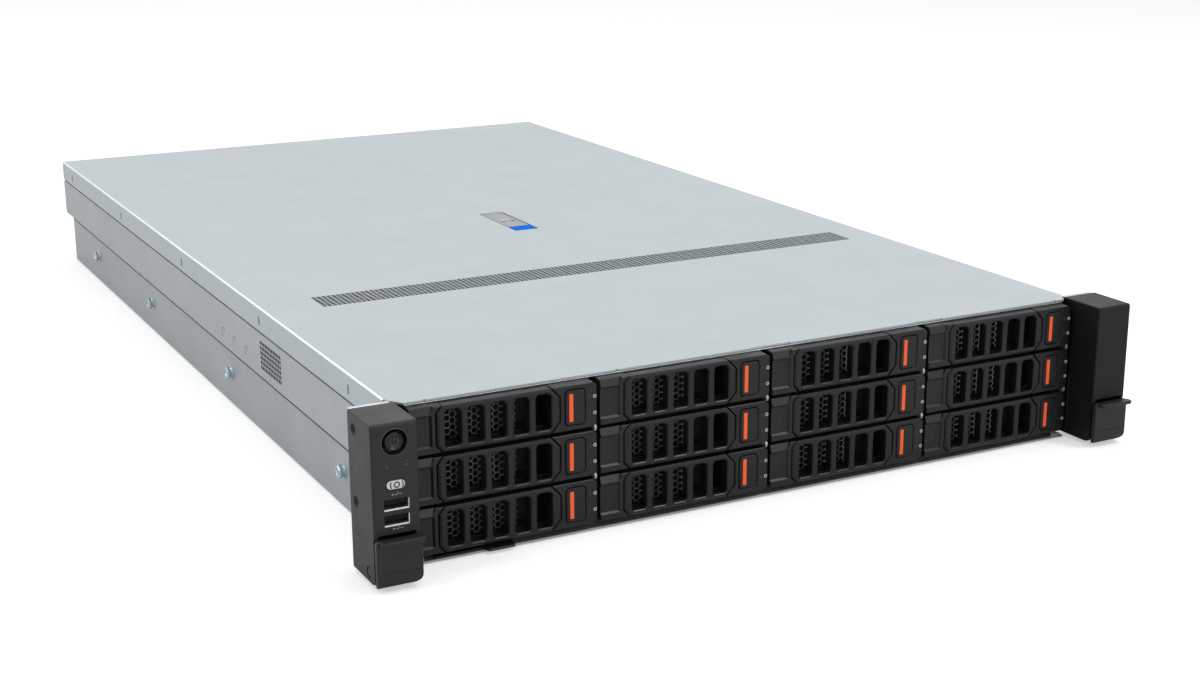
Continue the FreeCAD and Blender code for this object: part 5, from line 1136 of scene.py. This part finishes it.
# %% [markdown]
# ## Power supplies
# Two plug-in supplies fill the bay at the rear: a sheet case whose back is slotted for its fan, a black
# mains inlet with three blades, a bent loop handle and a lamp. The blue tab beside the handle frees the
# supply, so it is a piece of its own.
# %% Power supplies
SLOT_ROWS, SLOT_LEFT, SLOT_PITCH = (-17.0, -13.6, -10.2, -6.8, 5.0, 8.4, 11.8, 15.2), 36.5, 6.6
INLET_LEFT, INLET_RIGHT, INLET_HALF, INLET_WALL = 4.0, 31.4, 10, 2.6
LOOP_ROD, LOOP_CUT, BLADE_APART = 4, 5.6, 6.5
for number in (1, 2):
    name, tab_name = "power_supply_%d" % number, "supply_tab_%d" % number
    (left, front, base), (right, reach, top) = box_mm(name)
    (near, start, low), (far, end, high) = box_mm(tab_name)
    face, centre = start, (base + top) / 2
    slots = [moulding(cornered(x, x + 5.4, centre + rise, centre + rise + 1.9, cuts=(0.5,) * 4),
                      [(face - 4, 0), (face + 1, 0)])
             for rise in SLOT_ROWS for x in (left + SLOT_LEFT + SLOT_PITCH * rank for rank in range(5))]
    inlet = (left + INLET_LEFT, left + INLET_RIGHT, centre - INLET_HALF, centre + INLET_HALF)
    mouth = moulding(cornered(*inlet), [(face - 14, 0), (face + 1, 0)])
    case = carved(block(left, right, front, face, base, top, 0.4), mouth, *slots)
    plug = cornered(inlet[0] + INLET_WALL, inlet[1] - INLET_WALL, inlet[2] + INLET_WALL,
                    inlet[3] - INLET_WALL, cuts=(0, 0, 3.5, 3.5))
    shroud = carved(moulding(cornered(*inlet), [(face - 14, 0), (face + 0.6, 0), (face + 0.9, -0.3)]),
                    moulding(plug, [(face - 12.5, 0), (face + 2, 0)]))
    middle = (inlet[0] + inlet[1]) / 2
    blades = [block(x - 1.0, x + 1.0, face - 13, face - 3, z - 2.0, z + 2.0, 0.3)
              for x, z in ((middle - BLADE_APART, centre - 1.5), (middle, centre + 2.0),
                           (middle + BLADE_APART, centre - 1.5))]
    loop_left, loop_right = inlet[1] + 4.0, left + 66.2
    loop_line = [(loop_left, face - 1), (loop_left, reach - LOOP_ROD), (loop_left + LOOP_ROD, reach),
                 (loop_right - LOOP_ROD, reach), (loop_right, reach - LOOP_ROD), (loop_right, face - 1),
                 (loop_right - LOOP_ROD, face - 1), (loop_right - LOOP_ROD, reach - LOOP_CUT),
                 (loop_right - LOOP_CUT, reach - LOOP_ROD), (loop_left + LOOP_CUT, reach - LOOP_ROD),
                 (loop_left + LOOP_ROD, reach - LOOP_CUT), (loop_left + LOOP_ROD, face - 1)]
    loop = moulding(loop_line, [(centre - 2.5, -0.5), (centre - 2.0, 0), (centre + 2.0, 0),
                                (centre + 2.5, -0.5)], "Z")
    lamp = moulding(circle(loop_right - 1.5, centre + 15.5, 1.4, 20),
                    [(face - 1, 0), (face + 0.3, 0), (face + 0.6, -0.5)])
    for form_name, form, finish, stands_for in (
            ("supply_case_%d", case, supply_case, [name]),
            ("supply_inlet_%d", shroud, fan_black, ()),
            ("supply_blades_%d", blades, bright_tin, ()),
            ("supply_handle_%d", loop, fan_black, ()),
            ("supply_lamp_%d", lamp, lamp_green, ())):
        piece(form_name % number, form, finish, name, stands_for)
    tongue = moulding(cornered(start + 0.15, end, low, high, cuts=(0, 2.5, 2.5, 0), steps=4),
                      [(near, -0.5), (near + 0.5, 0), (far - 0.5, 0), (far, -0.5)], "X")
    grips = [block(near, near + 0.5, end - back, end - back + 0.9, low + 3, high - 3, 0.15)
             for back in (8, 6, 4)]
    piece("supply_tab_plate_%d" % number, [tongue, *grips], press_blue, tab_name,
          [tab_name])
print("supply slots", len(slots))

# %% [markdown]
# ## Rear ports and slot screws
# The rear wall is cut for the board's ports. Each port shows as the rim of a folded tin-plated shell
# round a dark mouth with a grey tongue in it, and one small screw holds each expansion slot's cover.
# %% Rear ports and slot screws
PORT_LOW, PORT_HIGH = 7.7, 20.5
# left edge and width of each
PORTS = ((-123.1, 15.6), (-103.1, 15.6), (-77.1, 30.8), (-25.1, 13.4), (-5.1, 13.4), (18.9, 15.6))
SLOT_SCREWS = [(x, z) for x in (-131.0, -14.8, 101.0) for z in (31.1, 51.4, 71.7)]
wall_out, port_face = box_mm("rear_panel")[1][1], box_mm("system_board")[1][1]
shells, cores = [], []
for left, wide in PORTS:
    rim = cornered(left + 0.1, left + wide - 0.1, PORT_LOW, PORT_HIGH, cuts=(0.6,) * 4)
    shells.append(carved(moulding(rim, [(port_face - 0.4, 0), (port_face + 0.5, 0)]),
                         moulding(grown(rim, -0.7),
                                  [(port_face - 1, 0), (port_face + 0.3, 0), (port_face + 1, 0.5)])))
    cores.append(block(left + 2.6, left + wide - 2.6, port_face - 0.1, port_face + 0.3, 12.4, 15.6, 0.1))
levels = [(wall_out - 0.1, 0), (wall_out + 0.1, 0), (wall_out + 0.19, -0.4)]
screws = [moulding(circle(x, z, 2.2, 20), levels) for x, z in SLOT_SCREWS]
piece("rear_port_shells", shells, bright_tin, "chassis")
piece("rear_port_cores", cores, dark_grey, "chassis")
piece("slot_screws", screws, stud_zinc, "chassis")
print("rear ports", len(shells))

# %% [markdown]
# ## Finishes on the model's own nodes
# What the model already shapes well keeps its shape and only gets a finish: the drive cage, the rear
# wall, the fans and the boards.
# %% Finishes on the model's own nodes
own = {"drive_cage": inner_zinc, "rear_panel": wall_zinc, "drive_backplane": board_green,
       "fan_frames": fan_black, "system_board": board_parts}
own.update({"fan_rotor_%d" % number: fan_black for number in range(1, 5)})
for name, finish in own.items():
    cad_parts[name].data.materials.clear()
    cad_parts[name].data.materials.append(finish)
shown = sorted(name for name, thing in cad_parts.items()
               if not thing.hide_render and name not in own)
print("nodes with no finish of their own", shown)

low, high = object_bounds()
print("visual", low, high)
